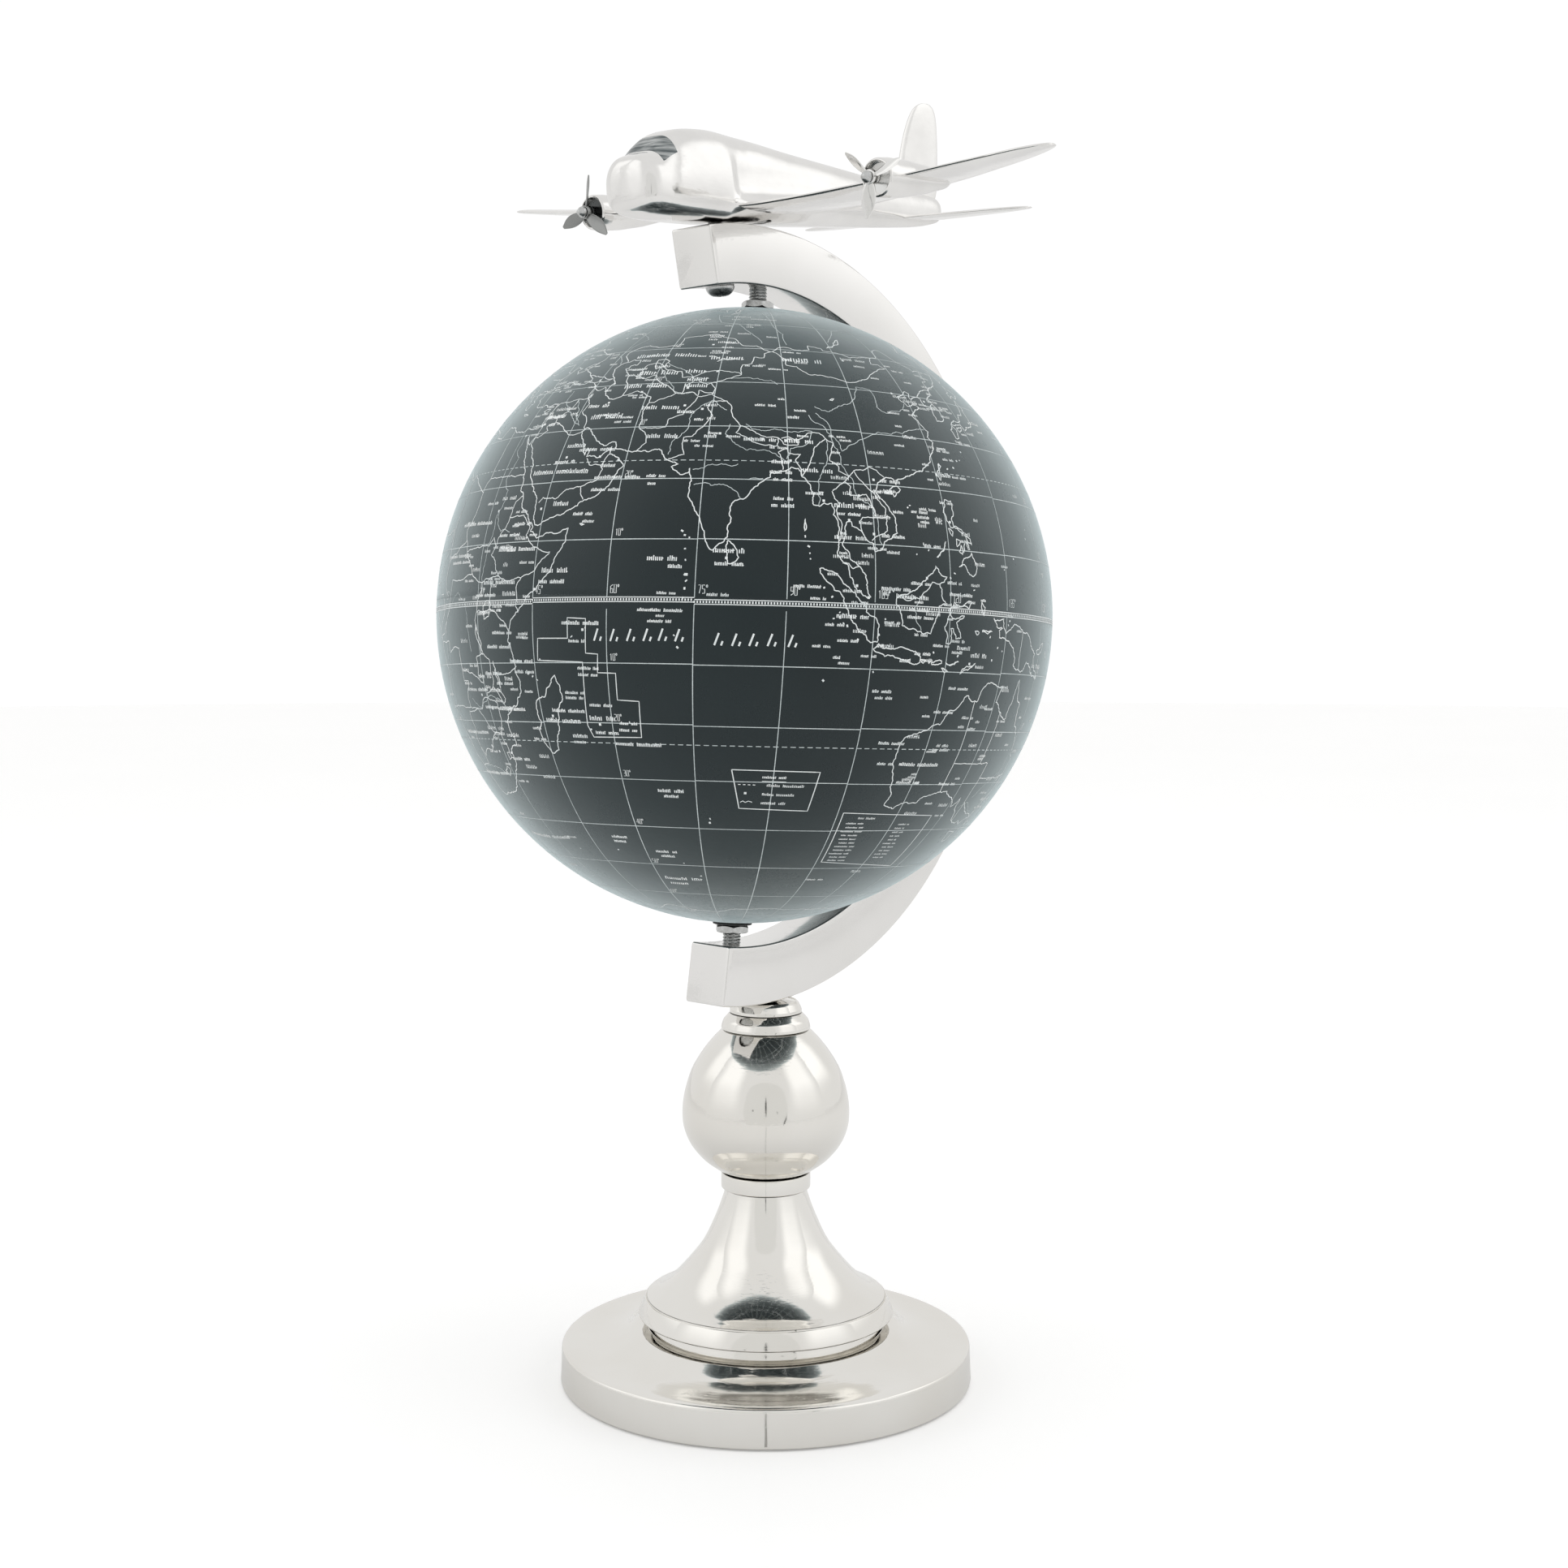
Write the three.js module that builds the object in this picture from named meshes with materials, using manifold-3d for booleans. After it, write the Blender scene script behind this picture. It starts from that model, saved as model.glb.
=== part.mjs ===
// Desk globe on a turned metal pedestal: a 200 mm globe spins between two pivots in a
// crescent arm, and a small twin-engined aeroplane stands on the arm's upper end.
// Millimetres, +Z up. The origin is the middle of the flat underside of the base.
// The arm lies in the XZ plane and bulges towards +X; the aeroplane's nose points to -X.
import * as THREE from "three";
import { mergeVertices } from "three/addons/utils/BufferGeometryUtils.js";
import Module from "manifold-3d";

const wasm = await Module();
wasm.setup();

// ---------------------------------------------------------------- driving dimensions
const DEG = Math.PI / 180;
const GLOBE_R = 100; // globe, outside
const GLOBE_WALL = 2.4;
const GLOBE_X = -10.1; // globe centre, from the stem axis
const GLOBE_Z = 251.5; // globe centre, above the table
const AXIS_TILT = 3.4; // degrees, north pole towards +X
const ARM_RI = 107.2; // crescent arm, inner and outer radius about the globe centre
const ARM_RO = 126.5;
const ARM_W = 17.3; // arm width along Y
const ARM_TOP = 101.7; // degrees from +X, upper end of the arm
const ARM_BOTTOM = -98.7; // lower end
const PLANE_AT = 96.3; // degrees, where the aeroplane's screw goes through the arm
const PLANE_ROLL = 2.4; // degrees, port wing down
const BASE_R = 67.6;
const BASE_TOP = 14.9;
const ROD_R = 4; // M8 tie rod
const HOLE_R = 4.5;
const BOLT_R = 3; // M6 pivot bolts
const GAP = 0.3;
const ENGINE_X = -5; // cowl front, aft of the screw
const ENGINE_Y = 63.5;
const ENGINE_Z = 9.6;
const PROP_R = 13;

// ---------------------------------------------------------------- helpers
// A closed geometry as a solid, with shared vertices merged and slivers dropped.
function solid(geometry) {
  const g = geometry.clone();
  for (const k of ["normal", "uv", "uv1"]) g.deleteAttribute(k);
  const m = mergeVertices(g, 1e-4);
  const idx = m.index.array;
  const keep = [];
  for (let i = 0; i < idx.length; i += 3) {
    const [a, b, c] = [idx[i], idx[i + 1], idx[i + 2]];
    if (a !== b && b !== c && a !== c) keep.push(a, b, c);
  }
  const make = (tris) =>
    new wasm.Manifold(
      new wasm.Mesh({
        numProp: 3,
        vertProperties: new Float32Array(m.attributes.position.array),
        triVerts: new Uint32Array(tris),
      }),
    );
  let s = make(keep);
  if (s.volume() < 0) {
    for (let i = 0; i < keep.length; i += 3)
      [keep[i + 1], keep[i + 2]] = [keep[i + 2], keep[i + 1]];
    s = make(keep);
  }
  return s;
}
function geometryOf(s) {
  const m = s.getMesh();
  const p = new Float32Array(m.numVert * 3);
  for (let i = 0; i < m.numVert; i++)
    p.set(m.vertProperties.subarray(i * m.numProp, i * m.numProp + 3), i * 3);
  const g = new THREE.BufferGeometry();
  g.setAttribute("position", new THREE.BufferAttribute(p, 3));
  g.setIndex(new THREE.BufferAttribute(new Uint32Array(m.triVerts), 1));
  g.computeVertexNormals();
  return g;
}
// Turned piece about Z from [radius, height] pairs. A ring's profile closes on itself.
function turned(profile, segments = 48, ring = false) {
  const pts = profile.map(([r, z]) => new THREE.Vector2(r, z));
  if (ring) pts.push(pts[0].clone());
  return new THREE.LatheGeometry(pts, segments).rotateX(Math.PI / 2);
}
// Cylinder along Z between two heights.
function rod(r, z0, z1, segments = 20) {
  return new THREE.CylinderGeometry(r, r, z1 - z0, segments)
    .rotateX(Math.PI / 2)
    .translate(0, 0, (z0 + z1) / 2);
}
function hexNut(af, z0, z1, hole, segments = 20) {
  const body = solid(rod(af / Math.sqrt(3), z0, z1, 6));
  return body.subtract(solid(rod(hole, z0 - 1, z1 + 1, segments)));
}
// Closed skin over rings of points; every ring has the same count.
function loft(rings) {
  const n = rings[0].length;
  const pos = [];
  const tri = [];
  for (const ring of rings) for (const p of ring) pos.push(...p);
  for (let i = 0; i < rings.length - 1; i++)
    for (let j = 0; j < n; j++) {
      const a = i * n + j;
      const b = i * n + ((j + 1) % n);
      tri.push(a, b, a + n, b, b + n, a + n);
    }
  const centre = (ring) =>
    [0, 1, 2].map((k) => ring.reduce((s, p) => s + p[k], 0) / ring.length);
  const c0 = pos.length / 3;
  pos.push(...centre(rings[0]));
  const c1 = pos.length / 3;
  pos.push(...centre(rings[rings.length - 1]));
  const last = (rings.length - 1) * n;
  for (let j = 0; j < n; j++) {
    tri.push(c0, (j + 1) % n, j);
    tri.push(c1, last + j, last + ((j + 1) % n));
  }
  const g = new THREE.BufferGeometry();
  g.setAttribute("position", new THREE.Float32BufferAttribute(pos, 3));
  g.setIndex(tri);
  return g;
}
const finish = {
  polished: { color: 0xd8d7d2, roughness: 0.12, metalness: 1 },
  plane: { color: 0xdcdbd6, roughness: 0.18, metalness: 1 },
  zinc: { color: 0xb9bcbd, roughness: 0.3, metalness: 1 },
  steel: { color: 0x9a9c9c, roughness: 0.4, metalness: 1 },
  map: { color: 0x2f393d, roughness: 0.35, metalness: 0 },
  nylon: { color: 0x1d1f20, roughness: 0.5, metalness: 0 },
  felt: { color: 0x161816, roughness: 0.95, metalness: 0 },
};
function mesh(name, shape, look) {
  const g = shape.isBufferGeometry ? shape : geometryOf(shape);
  const m = new THREE.Mesh(g, new THREE.MeshStandardMaterial(finish[look]));
  m.name = name;
  return m;
}

const globeStand = new THREE.Group();

// ---------------------------------------------------------------- base and stem
const stem = new THREE.Group();
globeStand.add(stem);

// Felt pad let into the underside; it is what the object stands on.
stem.add(
  mesh(
    "base_pad",
    turned([[0, 0], [63.6, 0], [63.6, 1.6], [0, 1.6]], 40),
    "felt",
  ),
);
// Heavy disc with a recess for the pad and a pocket for the tie rod's nut.
stem.add(
  mesh(
    "base_disc",
    turned(
      [
        [HOLE_R, 9.2], [13, 9.2], [13, 1.65], [64, 1.65], [64, 0.5],
        [BASE_R, 0.5], [66.9, 12.6], [65.4, 14.1], [40.5, BASE_TOP], [HOLE_R, BASE_TOP],
      ],
      48,
      true,
    ),
    "polished",
  ),
);
stem.add(
  mesh(
    "step_ring",
    turned(
      [
        [HOLE_R, BASE_TOP + 0.03], [39.4, BASE_TOP + 0.03], [39.4, 15.9],
        [37.9, 16.6], [37.9, 21.2], [HOLE_R, 21.2],
      ],
      40,
      true,
    ),
    "polished",
  ),
);
// Bell-shaped foot, a hollow casting that opens downwards.
stem.add(
  mesh(
    "bell_foot",
    turned(
      [
        [36.4, 21.23], [42.2, 21.23], [39.7, 27.1],
        [34.6, 29.6], [30.4, 33], [25.9, 37.9], [21.1, 44],
        [18, 50], [15.5, 56], [13.4, 62.5], [HOLE_R, 62.5],
        [HOLE_R, 59], [10.6, 59], [14.2, 50], [18.4, 42],
        [25.4, 33], [36.4, 25],
      ],
      40,
      true,
    ),
    "polished",
  ),
);
stem.add(
  mesh(
    "stem_collar",
    turned(
      [
        [HOLE_R, 62.53], [14.75, 62.53], [14.75, 67.7], [HOLE_R, 67.7],
      ],
      36,
      true,
    ),
    "polished",
  ),
);
// Onion bulb, hollow, open round the tie rod at both ends.
stem.add(
  mesh(
    "stem_bulb",
    turned(
      [
        [HOLE_R, 67.73], [13.9, 67.73], [16.9, 69.5], [20.95, 72.5], [24.77, 77],
        [27.02, 82], [27.65, 87], [27.3, 92], [26.2, 97], [24.3, 102],
        [21.3, 107], [18.1, 111], [14.2, 114.85], [HOLE_R, 114.85],
        [HOLE_R, 111.5], [14.4, 110.4], [21.6, 100.5],
        [24.4, 88], [20.6, 75.6], [15.6, 71.4], [HOLE_R, 71],
      ],
      40,
      true,
    ),
    "polished",
  ),
);
stem.add(
  mesh(
    "cap_ring_lower",
    turned(
      [
        [HOLE_R, 114.88], [14.6, 114.88], [14.85, 115.6], [14, 118],
        [12, 120.2], [HOLE_R, 120.2],
      ],
      36,
      true,
    ),
    "polished",
  ),
);
stem.add(
  mesh(
    "cap_ring_upper",
    turned(
      [
        [HOLE_R, 120.23], [11.8, 120.23], [12, 120.8], [11, 123.4],
        [9.2, 124.85], [HOLE_R, 124.85],
      ],
      36,
      true,
    ),
    "polished",
  ),
);
// Tie rod through the whole stem, its washer and its nut in the base pocket.
stem.add(mesh("tie_rod", rod(ROD_R, 2.4, 136.5, 16), "zinc"));
stem.add(
  mesh(
    "tie_rod_washer",
    turned([[ROD_R + 0.3, 7.5], [11, 7.5], [11, 9.15], [ROD_R + 0.3, 9.15]], 20, true),
    "zinc",
  ),
);
stem.add(mesh("tie_rod_nut", hexNut(13, 2.6, 7.45, ROD_R + 0.2, 16), "zinc"));

// ---------------------------------------------------------------- crescent arm
const tilt = new THREE.Matrix4().makeRotationY(AXIS_TILT * DEG);
// Turns a shape built about +Z into one along the arm's radius at a given angle.
const radial = (deg) => new THREE.Matrix4().makeRotationY((90 - deg) * DEG);

const bar = new THREE.Shape();
bar.absarc(0, 0, ARM_RO - 0.9, ARM_BOTTOM * DEG, ARM_TOP * DEG, false);
bar.absarc(0, 0, ARM_RI + 0.9, ARM_TOP * DEG, ARM_BOTTOM * DEG, true);
bar.closePath();
let armSolid = solid(
  new THREE.ExtrudeGeometry(bar, {
    depth: ARM_W - 1.8,
    bevelEnabled: true,
    bevelThickness: 0.9,
    bevelSize: 0.9,
    bevelSegments: 1,
    curveSegments: 26,
  })
    .translate(0, 0, -(ARM_W - 1.8) / 2)
    .rotateX(Math.PI / 2),
);
const cut = (geometry, matrix) => {
  armSolid = armSolid.subtract(solid(geometry.clone().applyMatrix4(matrix)));
};
// pivot bolts: clearance hole and counterbore from the outside
cut(rod(BOLT_R + GAP, 100, 130, 14), tilt);
cut(rod(5.3, ARM_RO - 3.6, 130, 16), tilt);
cut(rod(BOLT_R + GAP, -130, -100, 14), tilt);
cut(rod(5.3, -130, -(ARM_RO - 3.6), 16), tilt);
// aeroplane screw
cut(rod(2.5 + GAP, 100, 130, 12), radial(PLANE_AT));
// tie rod, a blind hole from below
cut(
  rod(ROD_R + GAP, 110 - GLOBE_Z, 137.2 - GLOBE_Z, 16).translate(-GLOBE_X, 0, 0),
  new THREE.Matrix4(),
);
const arm = new THREE.Group();
arm.position.set(GLOBE_X, 0, GLOBE_Z);
arm.add(mesh("arm", armSolid, "polished"));
globeStand.add(arm);

// ---------------------------------------------------------------- globe and pivots
const globe = new THREE.Group();
globe.position.set(GLOBE_X, 0, GLOBE_Z);
globe.rotation.y = AXIS_TILT * DEG;
globeStand.add(globe);

const POLE_HOLE = 5.1;
const RI = GLOBE_R - GLOBE_WALL;
function shellProfile(lip) {
  const p = [];
  const steps = 8;
  const outerTop = Math.asin(POLE_HOLE / GLOBE_R);
  const innerTop = Math.asin(POLE_HOLE / RI);
  for (let i = 0; i <= steps; i++) {
    const a = Math.PI / 2 - ((Math.PI / 2 - outerTop) * i) / steps;
    p.push([GLOBE_R * Math.sin(a), GLOBE_R * Math.cos(a) + (i === 0 ? 0.06 : 0)]);
  }
  for (let i = steps; i >= 2; i -= 2) {
    const a = Math.PI / 2 - ((Math.PI / 2 - innerTop) * i) / steps;
    p.push([RI * Math.sin(a), RI * Math.cos(a)]);
  }
  if (lip) {
    p.push([95.0, 4], [95.0, -5], [97.2, -5], [97.2, 0.06]);
  } else {
    p.push([RI - 0.1, 6], [RI - 0.1, 0.06]);
  }
  return p;
}
const flipZ = (g) => g.rotateX(Math.PI);
const shellNorth = turned(shellProfile(false), 40, true);
const shellSouth = flipZ(turned(shellProfile(true), 40, true));
globe.add(mesh("globe_shell_north", solid(shellNorth), "map"));
globe.add(mesh("globe_shell_south", solid(shellSouth), "map"));

// Flanged nylon bush in each pole.
const bush = [
  [BOLT_R + 0.15, 93], [4.8, 93], [4.8, 100.15], [6.4, 100.15], [6.4, 100.75], [BOLT_R + 0.15, 100.75],
];
globe.add(mesh("pole_bushing_north", solid(turned(bush, 16, true)), "nylon"));
globe.add(mesh("pole_bushing_south", solid(flipZ(turned(bush, 16, true))), "nylon"));

// Pivot bolts: pan head let into the arm, threaded shank, plain tip in the bush.
function pivotBolt() {
  return turned(
    [
      [0, 90.5], [BOLT_R, 90.5], [BOLT_R, ARM_RO - 3.4],
      [4.9, ARM_RO - 3.4], [4.9, ARM_RO - 1.4], [3, ARM_RO - 0.4], [0, ARM_RO - 0.4],
    ],
    16,
  );
}
globe.add(mesh("pivot_bolt_north", solid(pivotBolt()), "zinc"));
globe.add(mesh("pivot_bolt_south", solid(flipZ(pivotBolt())), "zinc"));
// Thin lock nut on each bolt, between the bush and the arm.
globe.add(mesh("lock_nut_north", hexNut(10, 101.1, 103.2, BOLT_R + 0.25, 16), "zinc"));
globe.add(mesh("lock_nut_south", hexNut(10, -103.8, -101.1, BOLT_R + 0.25, 16), "zinc"));

// ---------------------------------------------------------------- aeroplane
// Own frame: x to the nose, y to port, z up, origin on the belly over the screw.
const armTip = new THREE.Group();
armTip.position.set(
  GLOBE_X + (ARM_RO + 0.15) * Math.cos(PLANE_AT * DEG),
  0,
  GLOBE_Z + (ARM_RO + 0.15) * Math.sin(PLANE_AT * DEG),
);
armTip.rotation.y = (90 - PLANE_AT) * DEG;
globeStand.add(armTip);
const plane = new THREE.Group();
plane.rotation.set(-PLANE_ROLL * DEG, 0, Math.PI, "ZYX");
armTip.add(plane);

// Screw from inside the arm up into the belly, head against the inner face.
const screwR = 2.5;
const seat = ARM_RI - ARM_RO - 0.6;
armTip.add(
  mesh(
    "aeroplane_screw",
    turned(
      [
        [0, seat - 3.3], [2.2, seat - 3.1], [4.1, seat - 2], [4.7, seat - 0.6], [4.7, seat],
        [screwR, seat], [screwR, 11.4], [0, 11.4],
      ],
      16,
    ),
    "zinc",
  ),
);

// Fuselage: rounded box section that carries the cabin as a narrower upper half.
const stations = [
  // x, half width, bottom, top
  [40.6, 3.6, 8.2, 15.4], [39.9, 6.6, 5.6, 18.0], [38.2, 9.4, 3.9, 19.9], [35.4, 11.4, 2.9, 21.0],
  [32.4, 12.3, 2.3, 21.8], [28.8, 12.7, 1.8, 25.6], [24.5, 12.9, 1.4, 28.0], [19, 13, 1.0, 29.4],
  [11, 13, 0.6, 29.8], [1, 12.9, 0.35, 29.2], [-14, 12.5, 0.25, 27.3], [-31, 11.4, 0.3, 24.6],
  [-51, 9.4, 0.5, 21.8], [-71, 7.2, 0.8, 19.0], [-90, 5.0, 1.2, 16.2], [-104, 3.4, 1.8, 14.0],
  [-114, 2.3, 3.2, 12.2], [-117.2, 1.3, 4.8, 10.6],
];
const RING = 20;
function bodyRing([x, w, zb, zt]) {
  const zm = zb + Math.min(9.5, (zt - zb) * 0.5);
  const out = [];
  for (let j = 0; j < RING; j++) {
    const t = (2 * Math.PI * j) / RING;
    const c = Math.cos(t);
    const s = Math.sin(t);
    const e = 0.72;
    const up = s > 0;
    const y = w * Math.sign(c) * Math.abs(c) ** e;
    const h = up ? zt - zm : zm - zb;
    const z = zm + h * Math.sign(s) * Math.abs(s) ** (up ? 0.95 : 0.62);
    const narrow = up ? 1 - 0.16 * Math.abs(s) ** 1.5 : 1;
    out.push([x, y * narrow, z]);
  }
  return out;
}
const fuselageSkin = loft(stations.map(bodyRing));

// Aerofoil ring in the xz plane at one y.
function wingRing(y, le, te, t, z, grow = 0) {
  const n = 7;
  const out = [];
  const at = (u) => 1.32 * Math.sqrt(u) * (1 - u) ** 0.72 + 0.06 * (1 - u);
  const put = (u, side) => {
    const x = le + grow - u * (le - te + 2 * grow);
    const half = (t / 2 + grow) * Math.max(0.16, Math.min(1, at(u)));
    out.push([x, y, z + side * half]);
  };
  for (let i = 0; i <= n; i++) put(0.5 - 0.5 * Math.cos((Math.PI * i) / n), 1);
  for (let i = n; i >= 0; i--) put(0.5 - 0.5 * Math.cos((Math.PI * i) / n), -1);
  return out;
}
const wingStations = [
  // y, leading edge, trailing edge, thickness, height
  [7, 4, -49, 6.6, 5.0], [14, 2.5, -48, 6.2, 5.2], [22, -0.5, -47.3, 5.2, 5.6], [36, -4, -46.4, 4.8, 6.7],
  [50, -8, -45.4, 4.5, 8.2], [68, -11, -43.4, 4.2, 9.9], [84, -12.4, -39.6, 3.8, 11.5], [98, -13.4, -35.2, 3.4, 12.8],
  [108, -14.6, -31, 3.0, 13.8], [114.5, -16.4, -26.4, 2.4, 14.4], [118, -18.8, -22.6, 1.6, 14.7],
];
function wingGeometry(side, grow = 0) {
  return loft(
    wingStations.map(([y, le, te, t, z], i) =>
      wingRing(side * (i === 0 ? y - grow : y), le, te, t, z, grow),
    ),
  );
}
const wingPort = solid(wingGeometry(1));
const wingStar = solid(wingGeometry(-1));
const pocketPort = solid(wingGeometry(1, GAP));
const pocketStar = solid(wingGeometry(-1, GAP));

// Fin and stabiliser, both tapered lofts let into the tail.
function slab(axis, at, le, te, t, mid, grow = 0) {
  // rounded lens: axis "z" stands up, axis "y" lies flat
  const out = [];
  const n = 5;
  const put = (u, side) => {
    const x = le + grow - u * (le - te + 2 * grow);
    const half = (t / 2 + grow) * Math.max(0.3, Math.sin(Math.PI * Math.min(1, Math.max(0, u))) ** 0.5);
    out.push(axis === "z" ? [x, mid + side * half, at] : [x, at, mid + side * half]);
  };
  for (let i = 0; i <= n; i++) put(0.5 - 0.5 * Math.cos((Math.PI * i) / n), 1);
  for (let i = n; i >= 0; i--) put(0.5 - 0.5 * Math.cos((Math.PI * i) / n), -1);
  return out;
}
const finStations = [
  [9.5, -91, -114.4, 2.6], [16, -93.5, -116.6, 2.8], [26, -95.6, -117.4, 2.8], [34, -98.4, -117.6, 2.6],
  [40, -101.6, -117.3, 2.3], [43.6, -104.8, -116, 1.9], [45.3, -108.4, -114, 1.3],
];
const finGeometry = (grow) =>
  loft(finStations.map(([z, le, te, t], i) => slab("z", i === 0 ? z - grow : z, le, te, t, 0, grow)));
const stabHalf = [
  [0, -91.5, -113.4, 3.2], [12, -92.2, -113.2, 3.1], [26, -94, -112.4, 2.9], [38, -96, -110.6, 2.6],
  [46, -98.2, -107.8, 2.1], [50.5, -100.8, -104.6, 1.4],
];
const stabStations = [...stabHalf.slice(1).reverse().map(([y, ...r]) => [-y, ...r]), ...stabHalf];
const STAB_Z = 4.4;
const stabGeometry = (grow) =>
  loft(stabStations.map(([y, le, te, t]) => slab("y", y, le, te, t, STAB_Z, grow)));

let fuselage = solid(fuselageSkin)
  .subtract(pocketPort)
  .subtract(pocketStar)
  .subtract(solid(finGeometry(GAP)))
  .subtract(solid(stabGeometry(GAP)))
  .subtract(solid(rod(screwR + GAP, -4, 12.2, 16).rotateX(PLANE_ROLL * DEG)));
// keep the largest piece: cutting the pockets must not leave crumbs
fuselage = fuselage.decompose().sort((a, b) => b.volume() - a.volume())[0];
plane.add(mesh("fuselage", fuselage, "plane"));
plane.add(mesh("wing_port", wingPort, "plane"));
plane.add(mesh("wing_starboard", wingStar, "plane"));
plane.add(
  mesh("tail_fin", solid(finGeometry(0)).subtract(solid(stabGeometry(GAP))), "plane"),
);
plane.add(mesh("stabiliser", solid(stabGeometry(0)), "plane"));

// Engine nacelle with an open cowl mouth and a boss that carries the propeller pin.
const nacelleProfile = [
  [1.3, -5.2], [1.3, 0.8], [2.1, 0.8], [2.1, -2.4], [4.5, -2.4], [5.2, 0],
  [6.0, -0.9], [6.2, -5], [5.8, -13], [4.4, -24], [2.4, -34],
  [0, -38], [0, -5.2],
];
const along = (g, side) => g.rotateY(Math.PI / 2).translate(ENGINE_X, side * ENGINE_Y, ENGINE_Z);
for (const [side, word, pocket] of [
  [1, "port", pocketPort],
  [-1, "starboard", pocketStar],
]) {
  let body = solid(along(turned(nacelleProfile, 18, true), side)).subtract(pocket);
  body = body.decompose().sort((a, b) => b.volume() - a.volume())[0];
  plane.add(mesh("engine_nacelle_" + word, body, "plane"));

  const prop = new THREE.Group();
  prop.position.set(ENGINE_X, side * ENGINE_Y, ENGINE_Z);
  plane.add(prop);
  // three twisted blades on a bored hub
  let blades = solid(rod(2.3, 1.1, 3.5, 14));
  for (let k = 0; k < 3; k++) {
    const blade = new THREE.SphereGeometry(1, 8, 6)
      .scale(1.7, 6.2, 0.5)
      .rotateY(24 * DEG)
      .translate(0, PROP_R - 6.2, 2.3)
      .rotateZ((k * 120 + (side > 0 ? 20 : 80)) * DEG);
    blades = blades.add(solid(blade));
  }
  blades = blades.subtract(solid(rod(1.02, 0, 5, 12)));
  prop.add(mesh("propeller_" + word, geometryOf(blades).rotateY(Math.PI / 2), "plane"));
  // pin with a domed head that keeps the propeller on
  prop.add(
    mesh(
      "propeller_pin_" + word,
      turned(
        [[0, -4.7], [0.9, -4.7], [0.9, 3.8], [1.9, 3.8], [1.7, 5], [0.9, 6.1], [0, 6.3]],
        12,
      ).rotateY(Math.PI / 2),
      "zinc",
    ),
  );
}

export default globeStand;
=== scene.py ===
import math
import random

import bmesh
import bpy
import numpy as np
from mathutils import Matrix, Vector


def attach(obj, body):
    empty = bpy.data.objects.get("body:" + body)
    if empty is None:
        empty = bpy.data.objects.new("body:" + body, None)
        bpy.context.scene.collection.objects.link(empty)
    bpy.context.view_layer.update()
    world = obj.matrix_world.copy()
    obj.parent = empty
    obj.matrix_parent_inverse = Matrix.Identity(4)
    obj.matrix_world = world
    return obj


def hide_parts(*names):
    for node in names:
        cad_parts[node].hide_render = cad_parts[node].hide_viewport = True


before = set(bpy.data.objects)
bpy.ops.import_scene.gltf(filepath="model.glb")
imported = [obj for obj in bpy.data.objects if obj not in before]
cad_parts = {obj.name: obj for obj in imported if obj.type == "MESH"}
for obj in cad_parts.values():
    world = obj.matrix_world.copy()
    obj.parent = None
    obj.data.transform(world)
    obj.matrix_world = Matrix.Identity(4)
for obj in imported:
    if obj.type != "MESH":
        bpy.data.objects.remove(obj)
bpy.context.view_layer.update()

# ------------------------------------------------------------------ dimensions, mm
GLOBE_R = 100.0
GLOBE_X = -10.1
GLOBE_Z = 251.5
AXIS_TILT = 3.4
ARM_RI = 107.2
ARM_RO = 126.5
ARM_W = 17.3
ARM_TOP = 101.7
ARM_BOTTOM = -98.7
PLANE_AT = 96.3
PLANE_ROLL = 2.4
ENGINE_X = -5.0
ENGINE_Y = 63.5
ENGINE_Z = 9.6
BOLT_R = 3.0
MAP_TURN = 140.1  # degrees from longitude 0 to the frame's +X, counter-clockwise

rad = math.radians


def move(x, y, z):
    return Matrix.Translation(Vector((x, y, z)))


def turn(deg, axis):
    return Matrix.Rotation(rad(deg), 4, axis)


T_GLOBE = move(GLOBE_X, 0, GLOBE_Z) @ turn(AXIS_TILT, "Y")
T_TIP = (
    move(
        GLOBE_X + (ARM_RO + 0.15) * math.cos(rad(PLANE_AT)),
        0,
        GLOBE_Z + (ARM_RO + 0.15) * math.sin(rad(PLANE_AT)),
    )
    @ turn(90 - PLANE_AT, "Y")
)
T_PLANE = T_TIP @ turn(180, "Z") @ turn(-PLANE_ROLL, "X")


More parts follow.
